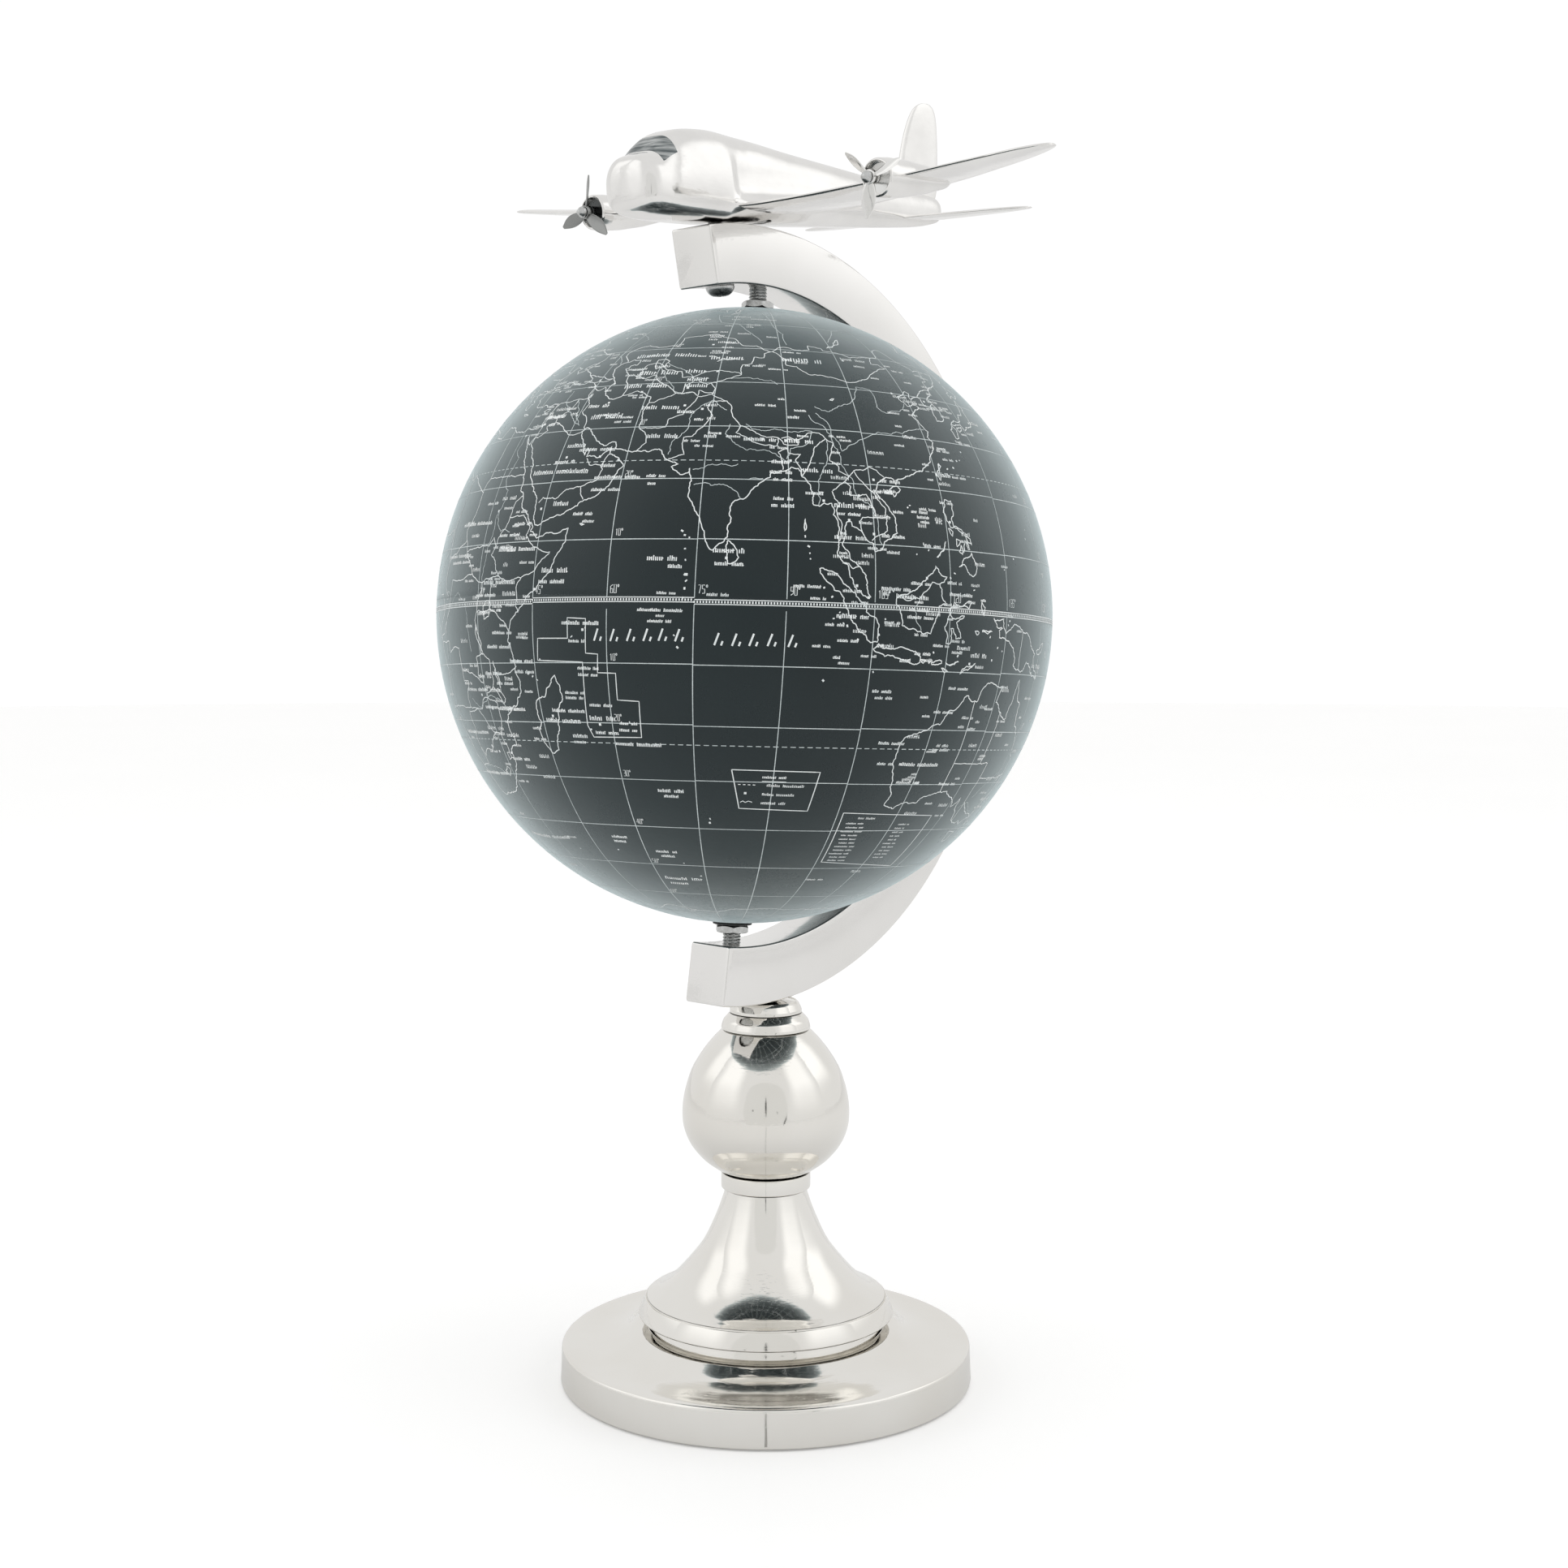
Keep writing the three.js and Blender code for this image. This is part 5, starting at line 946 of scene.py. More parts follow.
def natural(points, amount, step):
    """Adds the small turns of a real line between the points given."""
    out = [np.array(points[0], float)]
    for p, q in zip(points[:-1], points[1:]):
        p, q = np.array(p, float), np.array(q, float)
        seg = [p, q]
        length = math.hypot((q[0] - p[0]) * math.cos(rad((p[1] + q[1]) / 2)), q[1] - p[1])
        amp = amount * min(length, 3.2)
        while length > step:
            new = [seg[0]]
            for a, b in zip(seg[:-1], seg[1:]):
                d = b - a
                m = (a + b) / 2 + np.array([-d[1], d[0]]) / (np.hypot(*d) + 1e-9) * rnd.uniform(-1, 1) * amp
                new += [m, b]
            seg = new
            length /= 2
            amp *= 0.55
        out += seg[1:]
    return out


class Ribbons:
    def __init__(self):
        self.v, self.f = [], []

    def line(self, pts, width, lift=0.035, closed=False, pasted=True):
        p = np.array([on_globe(q[0], q[1], pasted) for q in pts])
        keep = [0]
        for i in range(1, len(p)):
            if np.linalg.norm(p[i] - p[keep[-1]]) > 2e-4:
                keep.append(i)
        p = p[keep]
        if len(p) < 2:
            return
        if closed:
            t = np.roll(p, -1, 0) - np.roll(p, 1, 0)
        else:
            t = np.gradient(p, axis=0)
        s = np.cross(p, t)
        s /= np.linalg.norm(s, axis=1)[:, None] + 1e-12
        r = GLOBE_R + lift
        o = len(self.v)
        for a, b in zip(p, s):
            self.v.append(tuple(a * r - b * width / 2))
            self.v.append(tuple(a * r + b * width / 2))
        n = len(p)
        for i in range(n if closed else n - 1):
            j = (i + 1) % n
            self.f.append((o + 2 * i, o + 2 * j, o + 2 * j + 1, o + 2 * i + 1))

    def patch(self, lon, lat, w, h, lift=0.035, spin=0.0, raw=False):
        """Small filled block, w and h in mm."""
        c = on_globe(lon, lat, not raw)
        e = np.cross([0, 0, 1], c)
        e /= np.linalg.norm(e)
        n = np.cross(c, e)
        ca, sa = math.cos(spin), math.sin(spin)
        e, n = e * ca + n * sa, -e * sa + n * ca
        o = len(self.v)
        for x, y in ((-w, -h), (w, -h), (w, h), (-w, h)):
            q = c * GLOBE_R + e * x / 2 + n * y / 2
            self.v.append(tuple(q / np.linalg.norm(q) * (GLOBE_R + lift)))
        self.f.append((o, o + 1, o + 2, o + 3))

    def label(self, lon, lat, width, height, tilt=0.0, bold=0.2):
        """Greeked label: a row of small abstract strokes with no letters in it."""
        c = on_globe(lon, lat, False)
        e = np.cross([0, 0, 1], c)
        e /= np.linalg.norm(e)
        n = np.cross(c, e)
        r = GLOBE_R + 0.04

        def bar(x0, y0, x1, y1):
            o = len(self.v)
            for x, y in ((x0, y0), (x1, y0), (x1, y1), (x0, y1)):
                q = c * GLOBE_R + e * (x + y * tilt) + n * y
                self.v.append(tuple(q / np.linalg.norm(q) * r))
            self.f.append((o, o + 1, o + 2, o + 3))

        pitch = height * 0.40
        k = max(3, int(width / pitch))
        pitch = width / k
        t = min(bold, pitch * 0.62)
        gap = rnd.randrange(k // 3, 2 * k // 3 + 1) if k > 12 else -1
        for i in range(k):
            if i in (gap, gap + 1):
                continue
            x = -width / 2 + i * pitch
            hh = height * rnd.choice((1.0, 0.72, 0.72, 0.72, 0.86))
            bar(x, -height / 2, x + t, -height / 2 + hh)
            if rnd.random() < 0.35:
                yy = -height / 2 + hh * rnd.choice((0.1, 0.5, 0.75))
                bar(x + t, yy, x + pitch, yy + height * 0.2)

    def make(self, name, mat):
        ob = build(name, self.v, self.f, mat, "globe", [], "map_shell", T_GLOBE, angle=None)
        return ob


DIGITS = {
    "0": [[(0, 0), (1, 0), (1, 2), (0, 2), (0, 0)]],
    "1": [[(0.2, 1.6), (0.6, 2), (0.6, 0)]],
    "2": [[(0, 2), (1, 2), (1, 1.1), (0, 0.9), (0, 0), (1, 0)]],
    "3": [[(0, 2), (1, 2), (1, 0), (0, 0)], [(0.3, 1), (1, 1)]],
    "4": [[(0.8, 0), (0.8, 2), (0, 0.6), (1.1, 0.6)]],
    "5": [[(1, 2), (0, 2), (0, 1.1), (1, 1.0), (1, 0), (0, 0)]],
    "6": [[(1, 2), (0, 1.6), (0, 0), (1, 0), (1, 1), (0, 1)]],
    "7": [[(0, 2), (1, 2), (0.4, 0)]],
    "8": [[(0, 0), (1, 0), (1, 2), (0, 2), (0, 0)], [(0, 1), (1, 1)]],
    "9": [[(1, 1), (0, 1), (0, 2), (1, 2), (1, 0.4), (0, 0)]],
}


def number(rib, text, lon, lat, size, width):
    """Degree numeral drawn with single strokes, size in degrees of latitude."""
    k = size / 2
    for ch in text:
        if ch == "o":
            c = [(0.25 + 0.3 * math.cos(t), 1.75 + 0.3 * math.sin(t)) for t in np.linspace(0, 2 * math.pi, 9)]
            strokes = [c]
        else:
            strokes = DIGITS[ch]
        for st in strokes:
            rib.line([(lon + x * k * 0.62 / math.cos(rad(lat)), lat + y * k) for x, y in st], width)
        lon += k * 0.98 / math.cos(rad(lat))


coast, frontier, grid, soft = Ribbons(), Ribbons(), Ribbons(), Ribbons()
for row in MAP.strip().splitlines():
    kind, *nums = row.split()
    pts = [(float(nums[i]), float(nums[i + 1])) for i in range(0, len(nums), 2)]
    if kind == "c":
        closed = pts[0] == pts[-1]
        line = natural(pts, 0.16, 0.42)
        coast.line(line[:-1] if closed else line, 0.31, closed=closed)
    elif kind == "b":
        frontier.line(natural(pts, 0.11, 0.5), 0.27)
    elif kind == "r":
        soft.line(natural(pts, 0.15, 0.5), 0.22)
    elif kind == "d":
        for lon, lat in pts:
            coast.patch(lon, lat, 0.75, 0.75)
    elif kind == "i":
        for lon, lat in pts:
            coast.patch(lon, lat, rnd.uniform(0.35, 0.8), rnd.uniform(0.3, 0.6), spin=rnd.uniform(0, 3))

# graticule: every 15 degrees of longitude, every 10 of latitude
for lon in range(-180, 180, 15):
    top = 80 if lon % 30 else 86.8
    seam = lon in (75, 105, 15, 45, -15)
    grid.line([(lon, a) for a in np.arange(-top, -0.49, 1.5)], 0.25)
    grid.line([(lon, a) for a in np.arange(0.6, top + 0.1, 1.5)], 0.25)
for lat in range(-80, 81, 10):
    if lat:
        for g0 in range(-165, 195, 30):
            slip = rnd.uniform(-0.13, 0.13)
            grid.line([(a, lat + slip) for a in np.arange(g0 - 30, g0 + 0.1, 1.5)], 0.25)
# tropics and polar circles, dashed
for lat in (23.44, -23.44, 66.56, -66.56):
    step = 1.5 / math.cos(rad(lat)) ** 0.5
    a = -180.0
    while a < 180:
        grid.line([(a, lat), (a + step * 0.3, lat), (a + step * 0.62, lat)], 0.25)
        a += step
# equator: two rails with small blocks between
for g0 in range(-165, 195, 30):
    slip = rnd.uniform(-0.12, 0.12) if g0 not in (75, 105) else (0.22 if g0 == 75 else -0.1)
    for lat in (-0.36, 0.36):
        coast.line([(a, lat + slip) for a in np.arange(g0 - 30, g0 + 0.1, 1.5)], 0.26)
    for k in range(0, 60, 1):
        a = on_globe(g0 - 30 + k * 0.5, slip)
        coast.patch(g0 - 30 + k * 0.5, math.degrees(math.asin(a[2])), 0.42, 0.66, raw=True)
for lon in range(-180, 180, 15):
    number(coast, str(abs(lon)) + "o", lon + 0.6, 1.25, 1.3, 0.2)
for lat in range(-70, 71, 10):
    if lat:
        for lon in (-150, -30, 60, 150):
            number(coast, str(abs(lat)) + "o", lon + 0.6, lat + 0.5, 1.1, 0.17)
# date line
grid.line([(180, 70), (180, 66.5), (191, 65.5), (172, 53), (180, 48), (180, 5), (180, -5), (187.5, -15), (187.5, -45), (180, -52), (180, -70)], 0.2)


# island-group boxes in the western Indian Ocean
def box_line(points, width=0.25, rib=coast):
    out = []
    for (a, b), (c, d) in zip(points[:-1], points[1:]):
        n = max(2, int(math.hypot(c - a, d - b) / 1.0))
        out += [(a + (c - a) * i / n, b + (d - b) * i / n) for i in range(n)]
    out.append(points[-1])
    rib.line(out, width, pasted=False)


box_line([(52.5, -7.2), (52.5, -3.8), (56.1, -3.9), (56.0, -9.6), (58.3, -9.7), (58.1, -12.8), (61.5, -12.8), (61.5, -17.3), (65.5, -17.4), (65.4, -23.7), (55.8, -24.0), (54.9, -21.9), (55.2, -15.7), (55.3, -11.1), (45.8, -11.0), (46.1, -7.3), (52.5, -7.2)], 0.28)
# legend frame, with samples of the line kinds used on the map
box_line([(82.0, -28.9), (98.9, -28.8), (98.1, -36.7), (83.7, -36.6), (82.0, -28.9)], 0.3)
coast.label(90.2, -30.1, 7.0, 0.9, bold=0.26)
box_line([(87.9, -30.9), (92.6, -30.9)], 0.2)
for k in range(4):
    box_line([(83.3 + k * 0.95, -31.7), (83.8 + k * 0.95, -31.7)], 0.24)
coast.label(92.6, -31.7, 11.0, 0.95, bold=0.2)
coast.patch(84.8, -33.4, 0.75, 0.75, raw=True)
coast.label(91.4, -33.5, 9.5, 0.95, bold=0.2)
box_line([(83.9, -35.3), (84.4, -35.0), (84.9, -35.3), (85.5, -35.0), (86.3, -35.2)], 0.24)
coast.label(90.6, -35.3, 7.2, 0.95, bold=0.2)
# list panel: frame and two columns of rows
box_line([(106.3, -36.9), (131.0, -37.3), (131.6, -50.3), (106.4, -49.0), (106.3, -36.9)], 0.28, frontier)
frontier.label(112.5, -38.0, 6.0, 0.8, bold=0.16)
for k in range(11):
    y = -39.2 - k * 0.93
    frontier.label(110.2 + rnd.uniform(-0.3, 0.3), y, rnd.uniform(5.2, 7.6), 0.62, bold=0.15)
    if k < 10:
        frontier.label(123.4 + rnd.uniform(-0.3, 0.3), y - 0.1, rnd.uniform(3.4, 5.4), 0.62, bold=0.15)
# wide-set slanted marks across the ocean, standing for its printed name
for lon, lat in [(57.8, -6.5), (60.8, -6.5), (63.8, -6.4), (66.7, -6.3), (69.3, -6.2), (72.1, -6.2), (78.6, -6.6), (81.5, -6.6), (84.3, -6.5), (87.3, -6.4), (90.7, -6.4)]:
    coast.line([(lon - 0.1, lat - 1.0), (lon + 0.6, lat + 1.0)], 0.55, pasted=False)
    coast.line([(lon + 1.0, lat - 1.0), (lon + 1.25, lat - 0.3)], 0.55, pasted=False)
# greeked labels: places, seas and islands
for row in LABELS.split(";"):
    lon, lat, w, t = (float(q) for q in row.split())
    coast.label(lon, lat, w, t, tilt=0.12 if t < 1.1 else 0.0, bold=0.22 + 0.07 * t)
for row in MAP.strip().splitlines():
    kind, *nums = row.split()
    if kind == "d":
        for i in range(0, len(nums), 2):
            lon, lat = float(nums[i]), float(nums[i + 1])
            if 38 < lon < 125 and -45 < lat < 45:
                continue
            coast.label(lon + 2.2 / max(0.4, math.cos(rad(lat))), lat + 1.5, rnd.uniform(5, 9), 1.35, bold=0.25)
            coast.label(lon + 2.6 / max(0.4, math.cos(rad(lat))), lat - 0.4, rnd.uniform(3, 5), 0.95, bold=0.2)
    if kind == "i":
        for i in range(0, len(nums), 8):
            lon, lat = float(nums[i]), float(nums[i + 1])
            if 38 < lon < 125 and -45 < lat < 45:
                continue
            coast.label(lon, lat + 1.2, rnd.uniform(3, 5), 0.9, bold=0.18)
for lon0, lon1, lat0, lat1, count in ((22, 44, -34, 16, 46), (30, 62, 28, 50, 34), (60, 95, 44, 66, 26), (96, 128, -9, 30, 60), (112, 135, 28, 50, 24), (116, 150, -38, -12, 30), (68, 94, 26, 37, 12)):
    for k in range(count):
        lon, lat = rnd.uniform(lon0, lon1), rnd.uniform(lat0, lat1)
        coast.label(lon, lat, rnd.uniform(2.4, 6.2), rnd.choice((0.85, 0.95, 1.25)), bold=0.22)
for k in range(150):
    lon = rnd.uniform(-180, 180)
    lat = math.degrees(math.asin(rnd.uniform(-0.86, 0.95)))
    if 36 < lon < 128 and -50 < lat < 46:
        continue
    coast.label(lon, lat, rnd.uniform(3, 7), rnd.choice((0.9, 0.9, 1.3)), bold=0.2)
coast.make("map_lines", M_INK)
frontier.make("map_borders", M_INK)
grid.make("map_grid", M_INK_SOFT)
soft.make("map_rivers", M_INK_SOFT)

# ------------------------------------------------------------------ pivots
bush = fillets([(3.15, 93), (4.8, 93), (4.8, 100.15), (6.4, 100.15, 0.15), (6.4, 100.75, 0.25), (3.15, 100.75)], 4)
for sign, word in ((1, "north"), (-1, "south")):
    m = T_GLOBE if sign > 0 else T_GLOBE @ turn(180, "X")
    turned("bush_" + word, bush, M_NYLON, "globe", ["pole_bushing_" + word], "nylon", 64, matrix=m)
    head = fillets([(0, 123.1), (4.9, 123.1), (4.9, 125.1, 0.8), (2.6, 126.1, 3), (0, 126.1)], 5)
    hv, hf, _ = lathe([(0, 121)] + [(2.6, 121), (2.6, 123.1)] + head[1:], 64)
    bolt = build("bolt_" + word, *join([(hv, hf), thread(3.0, 95.5, 121.5, 1.0, 0.34, 56, 10), lathe([(0, 90.5), (2.4, 90.5), (2.62, 91), (2.62, 96), (0, 96)], 56)[:2]]), M_ZINC, "stand", ["pivot_bolt_" + word], "zinc_hardware", m, angle=None)
    outward(bolt)
    bolt.data.set_sharp_from_angle(angle=rad(35))
    nv, nf = hexagon(10 if sign < 0 else 9.4, 101.1, 103.4, 3.05)
    parts = [(nv, nf)]
    if sign < 0:
        parts = [placed((nv, nf), turn(12, "Z"))]
    nut = build("nut_" + word, *join(parts), M_ZINC, "stand", ["lock_nut_" + word], "zinc_hardware", m, angle=None)
    outward(nut)
    nut.data.set_sharp_from_angle(angle=rad(22))

# aeroplane's screw: pan head with a cross recess
seat = ARM_RI - ARM_RO - 0.3
pan_head = [(0, seat - 3.3)] + spline([(1.2, seat - 3.27), (2.6, seat - 3.0), (3.8, seat - 2.2), (4.5, seat - 1.1), (4.72, seat - 0.35)], 5) + [(4.72, seat - 0.05), (4.5, seat), (2.2, seat)]
hv, hf, _ = lathe(pan_head + [(2.2, seat + 4), (0, seat + 4)], 72)
screw = build("screw", hv, hf, M_ZINC, "stand", ["aeroplane_screw"], "zinc_hardware", T_TIP, angle=None)
outward(screw)
slots = []
for q in (0, 90):
    w, d = 0.55, 2.6
    z0, z1 = seat - 4, seat - 1.6
    box = [(-d, -w, z0), (d, -w, z0), (d, w, z0), (-d, w, z0), (-d * 0.55, -w * 0.7, z1), (d * 0.55, -w * 0.7, z1), (d * 0.55, w * 0.7, z1), (-d * 0.55, w * 0.7, z1)]
    c = build("cutter", box, [(3, 2, 1, 0), (4, 5, 6, 7), (0, 1, 5, 4), (1, 2, 6, 5), (2, 3, 7, 6), (3, 0, 4, 7)], M_ZINC, None, matrix=T_TIP @ turn(q + 20, "Z"), angle=None, smooth=False)
    outward(c)
    cut(screw, c)
sh = build("screw_shank", *join([placed(thread(2.5, 0, 30.2, 0.8, 0.28, 48, 8), move(0, 0, seat - 0.05))]), M_ZINC, "stand", [], "zinc_hardware", T_TIP, angle=None)
outward(sh)

# ------------------------------------------------------------------ aeroplane
def lerp_table(rows, x):
    rows = sorted(rows)
    xs = [r[0] for r in rows]
    return [float(np.interp(x, xs, [r[i] for r in rows])) for i in range(1, len(rows[0]))]


stations = [
    (40.6, 3.6, 8.2, 15.4), (39.9, 6.9, 5.5, 18.2), (38.2, 9.9, 3.7, 20.1), (35.4, 11.7, 2.7, 21.1),
    (32.6, 12.5, 2.1, 22.0), (29.2, 12.9, 1.6, 25.2), (25.0, 13.0, 1.2, 27.9), (19, 13.05, 0.9, 29.4),
    (11, 13.0, 0.6, 29.8), (3.2, 12.9, 0.4, 29.35), (-14, 12.2, 0.25, 27.3), (-31, 11.1, 0.3, 24.6),
    (-51, 9.2, 0.5, 21.8), (-71, 7.1, 0.8, 19.0), (-90, 4.9, 1.2, 16.2), (-104, 3.3, 1.8, 14.0),
    (-114, 2.2, 3.2, 12.2), (-117.2, 1.2, 4.8, 10.6),
]
fine = spline(stations, 8)
RINGN = 72


def section(x, w, zb, zt):
    zm = zb + min(9.5, (zt - zb) * 0.5)
    out = []
    box = max(0.0, min(1.0, (x + 6) / 10))  # squarer in front of the wing
    for j in range(RINGN):
        t = 2 * math.pi * j / RINGN
        c, s = math.cos(t), math.sin(t)
        e = 0.72 - 0.18 * box
        up = s > 0
        y = w * math.copysign(abs(c) ** e, c)
        h = zt - zm if up else zm - zb
        z = zm + h * math.copysign(abs(s) ** ((0.95 - 0.12 * box) if up else 0.62), s)
        if up:
            y *= 1 - 0.16 * abs(s) ** 1.5
        # the cheek of the nose ends in a soft vertical fold above the wing root
        fold = min(1.0, max(0.0, (4.2 - x) / 4.6)) * min(1.0, max(0.0, (x + 70) / 40))
        fold = fold * fold * (3 - 2 * fold)
        y *= 1 - 0.15 * fold * max(0.0, 1 - max(0.0, z - 15.5) / 8)
        # fairing that flares into the wing roots
        f = 1 / (1 + math.exp(-(2.0 - x) * 1.6)) / (1 + math.exp(-(x + 49) * 0.4))
        y += math.copysign(4.6 * f * math.exp(-(((z - 5.6) / 2.6) ** 2)), c) if abs(c) > 0.35 else 0
        out.append((x, y, z))
    return out


verts = [p for st in fine for p in section(*st)]
faces, ids = [], []
for k in range(len(fine) - 1):
    for i in range(RINGN):
        j = (i + 1) % RINGN
        faces.append((k * RINGN + i, k * RINGN + j, (k + 1) * RINGN + j, (k + 1) * RINGN + i))
        x = (fine[k][0] + fine[k + 1][0]) / 2
        z = verts[k * RINGN + i][2]
        t = 2 * math.pi * (i + 0.5) / RINGN
        # windscreen: the slope between the nose top and the cabin roof, given dark metal as painted shade under the
        # roof's brow
        shaded_slope = 27.0 < x < 32.7 and 0.2 < t / math.pi < 0.8
        ids.append(1 if shaded_slope else 0)
faces.append(tuple(range(RINGN)))
ids.append(0)
last = (len(fine) - 1) * RINGN
faces.append(tuple(last + i for i in range(RINGN))[::-1])
ids.append(0)
body = build("hull", verts, faces, [M_PLANE, M_WINDSCREEN_SHADE], "stand", ["fuselage"], "polished_plane", T_PLANE, angle=None, mat_ids=ids)
outward(body)
body.data.set_sharp_from_angle(angle=rad(50))


def airfoil(le, te, t, n=26, blunt=0.06):
    """Closed section in (x, z), upper side first."""
    up, dn = [], []
    for i in range(n + 1):
        u = 0.5 - 0.5 * math.cos(math.pi * i / n)
        x = le - u * (le - te)
        half = t / 2 * (1.32 * math.sqrt(u) * (1 - u) ** 0.72 + blunt * u)
        up.append((x, half * 1.08))
        dn.append((x, -half * 0.92))
    return up + dn[::-1][:-1]


def lofted(rows, place, per=6):
    """rows of (span, le, te, thickness, ...): place gives the xyz of a section point."""
    rows = spline(rows, per)
    verts, faces = [], []
    m = None
    for row in rows:
        sec = airfoil(row[1], row[2], row[3])
        m = len(sec)
        verts += [place(row, x, z) for x, z in sec]
    for k in range(len(rows) - 1):
        for i in range(m):
            j = (i + 1) % m
            faces.append((k * m + i, k * m + j, (k + 1) * m + j, (k + 1) * m + i))
    faces.append(tuple(range(m))[::-1])
    faces.append(tuple((len(rows) - 1) * m + i for i in range(m)))
    return verts, faces


wing_rows = [
    (7, 4, -49, 6.6, 5.0), (14, 2.6, -48, 6.2, 5.2), (22, -0.5, -47.3, 5.4, 5.6), (36, -4, -46.4, 4.9, 6.7),
    (50, -8, -45.4, 4.6, 8.2), (68, -11, -43.4, 4.2, 9.9), (84, -12.4, -39.6, 3.8, 11.5), (98, -13.4, -35.2, 3.4, 12.8),
    (108, -14.6, -31, 3.0, 13.8), (113.6, -16.2, -27.4, 2.5, 14.3), (116.6, -17.8, -24.6, 1.9, 14.55), (117.9, -19.4, -22.2, 1.1, 14.68),
]
for side, word in ((1, "port"), (-1, "starboard")):
    v, f = lofted(wing_rows, lambda r, x, z, side=side: (x, side * r[0], r[4] + z), 7)
    w = build("wing_" + word + "_skin", v, f, M_PLANE, "stand", ["wing_" + word], "polished_plane", T_PLANE, angle=None)
    outward(w)
    w.data.set_sharp_from_angle(angle=rad(60))

fin_rows = [(9.5, -91, -114.4, 2.6), (16, -93.5, -116.6, 2.8), (26, -95.6, -117.4, 2.8), (34, -98.4, -117.6, 2.6), (40, -101.6, -117.3, 2.3), (43.4, -104.6, -116.2, 1.8), (45.0, -107.6, -114.4, 1.2), (45.5, -109.4, -112.8, 0.7)]
v, f = lofted(fin_rows, lambda r, x, z: (x, z, r[0]), 6)
fin = build("fin", v, f, M_PLANE, "stand", ["tail_fin"], "polished_plane", T_PLANE, angle=None)
outward(fin)
stab = [(0, -91.5, -113.4, 3.2), (12, -92.2, -113.2, 3.1), (26, -94, -112.4, 2.9), (38, -96, -110.6, 2.6), (46, -98.2, -107.8, 2.1), (49.6, -100.2, -105.4, 1.5), (50.6, -101.6, -104.0, 0.9)]
rows = [(-y, a, b, c) for y, a, b, c in stab[:0:-1]] + stab
v, f = lofted(rows, lambda r, x, z: (x, r[0], 4.4 + z), 5)
st = build("tailplane", v, f, M_PLANE, "stand", ["stabiliser"], "polished_plane", T_PLANE, angle=None)
outward(st)

# engines: open cowls with a hollow front, painted dark as shade on starboard and bright as light on port, a hub and
# three twisted blades, likewise painted darker on starboard and lighter on port
cowl = fillets([(1.3, -5.2), (1.3, 0.8), (2.1, 0.8, 0.2), (2.1, -2.4), (4.5, -2.4), (5.25, 0.05, 0.35), (6.0, -0.9, 0.5), (6.2, -5, 3), (5.8, -13, 10), (4.4, -24, 14), (2.4, -34, 8), (0, -38.1), (0, -5.2)], 5)
cut_at = next(i for i, (r, z) in enumerate(cowl) if r > 5.0)


def blade(angle, length, chord, pitch):
    verts, faces = [], []
    n, m = 14, 16
    for k in range(n + 1):
        u = k / n
        r = 1.4 + (length - 1.4) * u
        c = chord * (0.45 + 0.9 * math.sin(math.pi * min(1, u * 0.86 + 0.08)) ** 0.8) * (1 - 0.55 * u ** 5)
        th = 0.95 * (1 - 0.62 * u)
        tw = rad(pitch + 26 * (1 - u))
        for i in range(m):
            t = 2 * math.pi * i / m
            a, b = c / 2 * math.cos(t), th / 2 * math.sin(t)
            x, z = a * math.cos(tw) - b * math.sin(tw), a * math.sin(tw) + b * math.cos(tw)
            verts.append((x, r, 2.3 + z))
    for k in range(n):
        for i in range(m):
            j = (i + 1) % m
            faces.append((k * m + i, k * m + j, (k + 1) * m + j, (k + 1) * m + i))
    faces.append(tuple(range(m))[::-1])
    faces.append(tuple(n * m + i for i in range(m)))
    return placed((verts, faces), turn(angle, "Z"))


for side, word in ((1, "port"), (-1, "starboard")):
    at = T_PLANE @ move(ENGINE_X, side * ENGINE_Y, ENGINE_Z) @ turn(90, "Y")
    v, f, ids = lathe(cowl, 72, True, lambda k: 1 if k < cut_at - 1 else 0)
    n = build("nacelle_" + word, v, f, [M_PLANE, M_COWL_PAINTED_LIGHT_AND_SHADE[word]], "stand", ["engine_nacelle_" + word], "polished_plane", at, angle=None, mat_ids=ids)
    outward(n)
    n.data.set_sharp_from_angle(angle=rad(35))
    hub = lathe(fillets([(1.02, 1.1), (2.3, 1.1, 0.2), (2.3, 3.5, 0.3), (1.02, 3.5)], 4), 40, True)[:2]
    blades = [blade(k * 120 + (20 if side > 0 else 80), 12.6, 3.3, 22) for k in range(3)]
    pr = build("prop_" + word, *join([hub] + blades), M_PROP_PAINTED_LIGHT_AND_SHADE[word], "propeller_" + word, ["propeller_" + word], "polished_plane", at, angle=None)
    outward(pr)
    pr.data.set_sharp_from_angle(angle=rad(40))
    turned("pin_" + word, fillets([(0, -4.7), (0.9, -4.7), (0.9, 3.75), (1.9, 3.75, 0.1), (1.9, 4.6, 0.5), (0.8, 6.15, 1), (0, 6.3)], 4), M_ZINC, "stand", ["propeller_pin_" + word], "zinc_hardware", 36, closed=False, matrix=at)

# ------------------------------------------------------------------ stage
def plane(name, w, h, centre, look, mat, up=(0, 0, 1), seg=1):
    me = bpy.data.meshes.new(name)
    me.from_pydata([(-w / 2, -h / 2, 0), (w / 2, -h / 2, 0), (w / 2, h / 2, 0), (-w / 2, h / 2, 0)], [], [(0, 1, 2, 3)])
    me.materials.append(mat)
    ob = bpy.data.objects.new(name, me)
    bpy.context.scene.collection.objects.link(ob)
    ob.rotation_euler = (Vector(look) - Vector(centre)).to_track_quat("Z", "Y").to_euler()
    ob.location = centre
    return ob


def disc(name, radius, z, mat, seg=96):
    me = bpy.data.meshes.new(name)
    me.from_pydata([(radius * math.cos(2 * math.pi * i / seg), radius * math.sin(2 * math.pi * i / seg), z) for i in range(seg)], [], [tuple(range(seg))])
    me.materials.append(mat)
    ob = bpy.data.objects.new(name, me)
    bpy.context.scene.collection.objects.link(ob)
    return ob


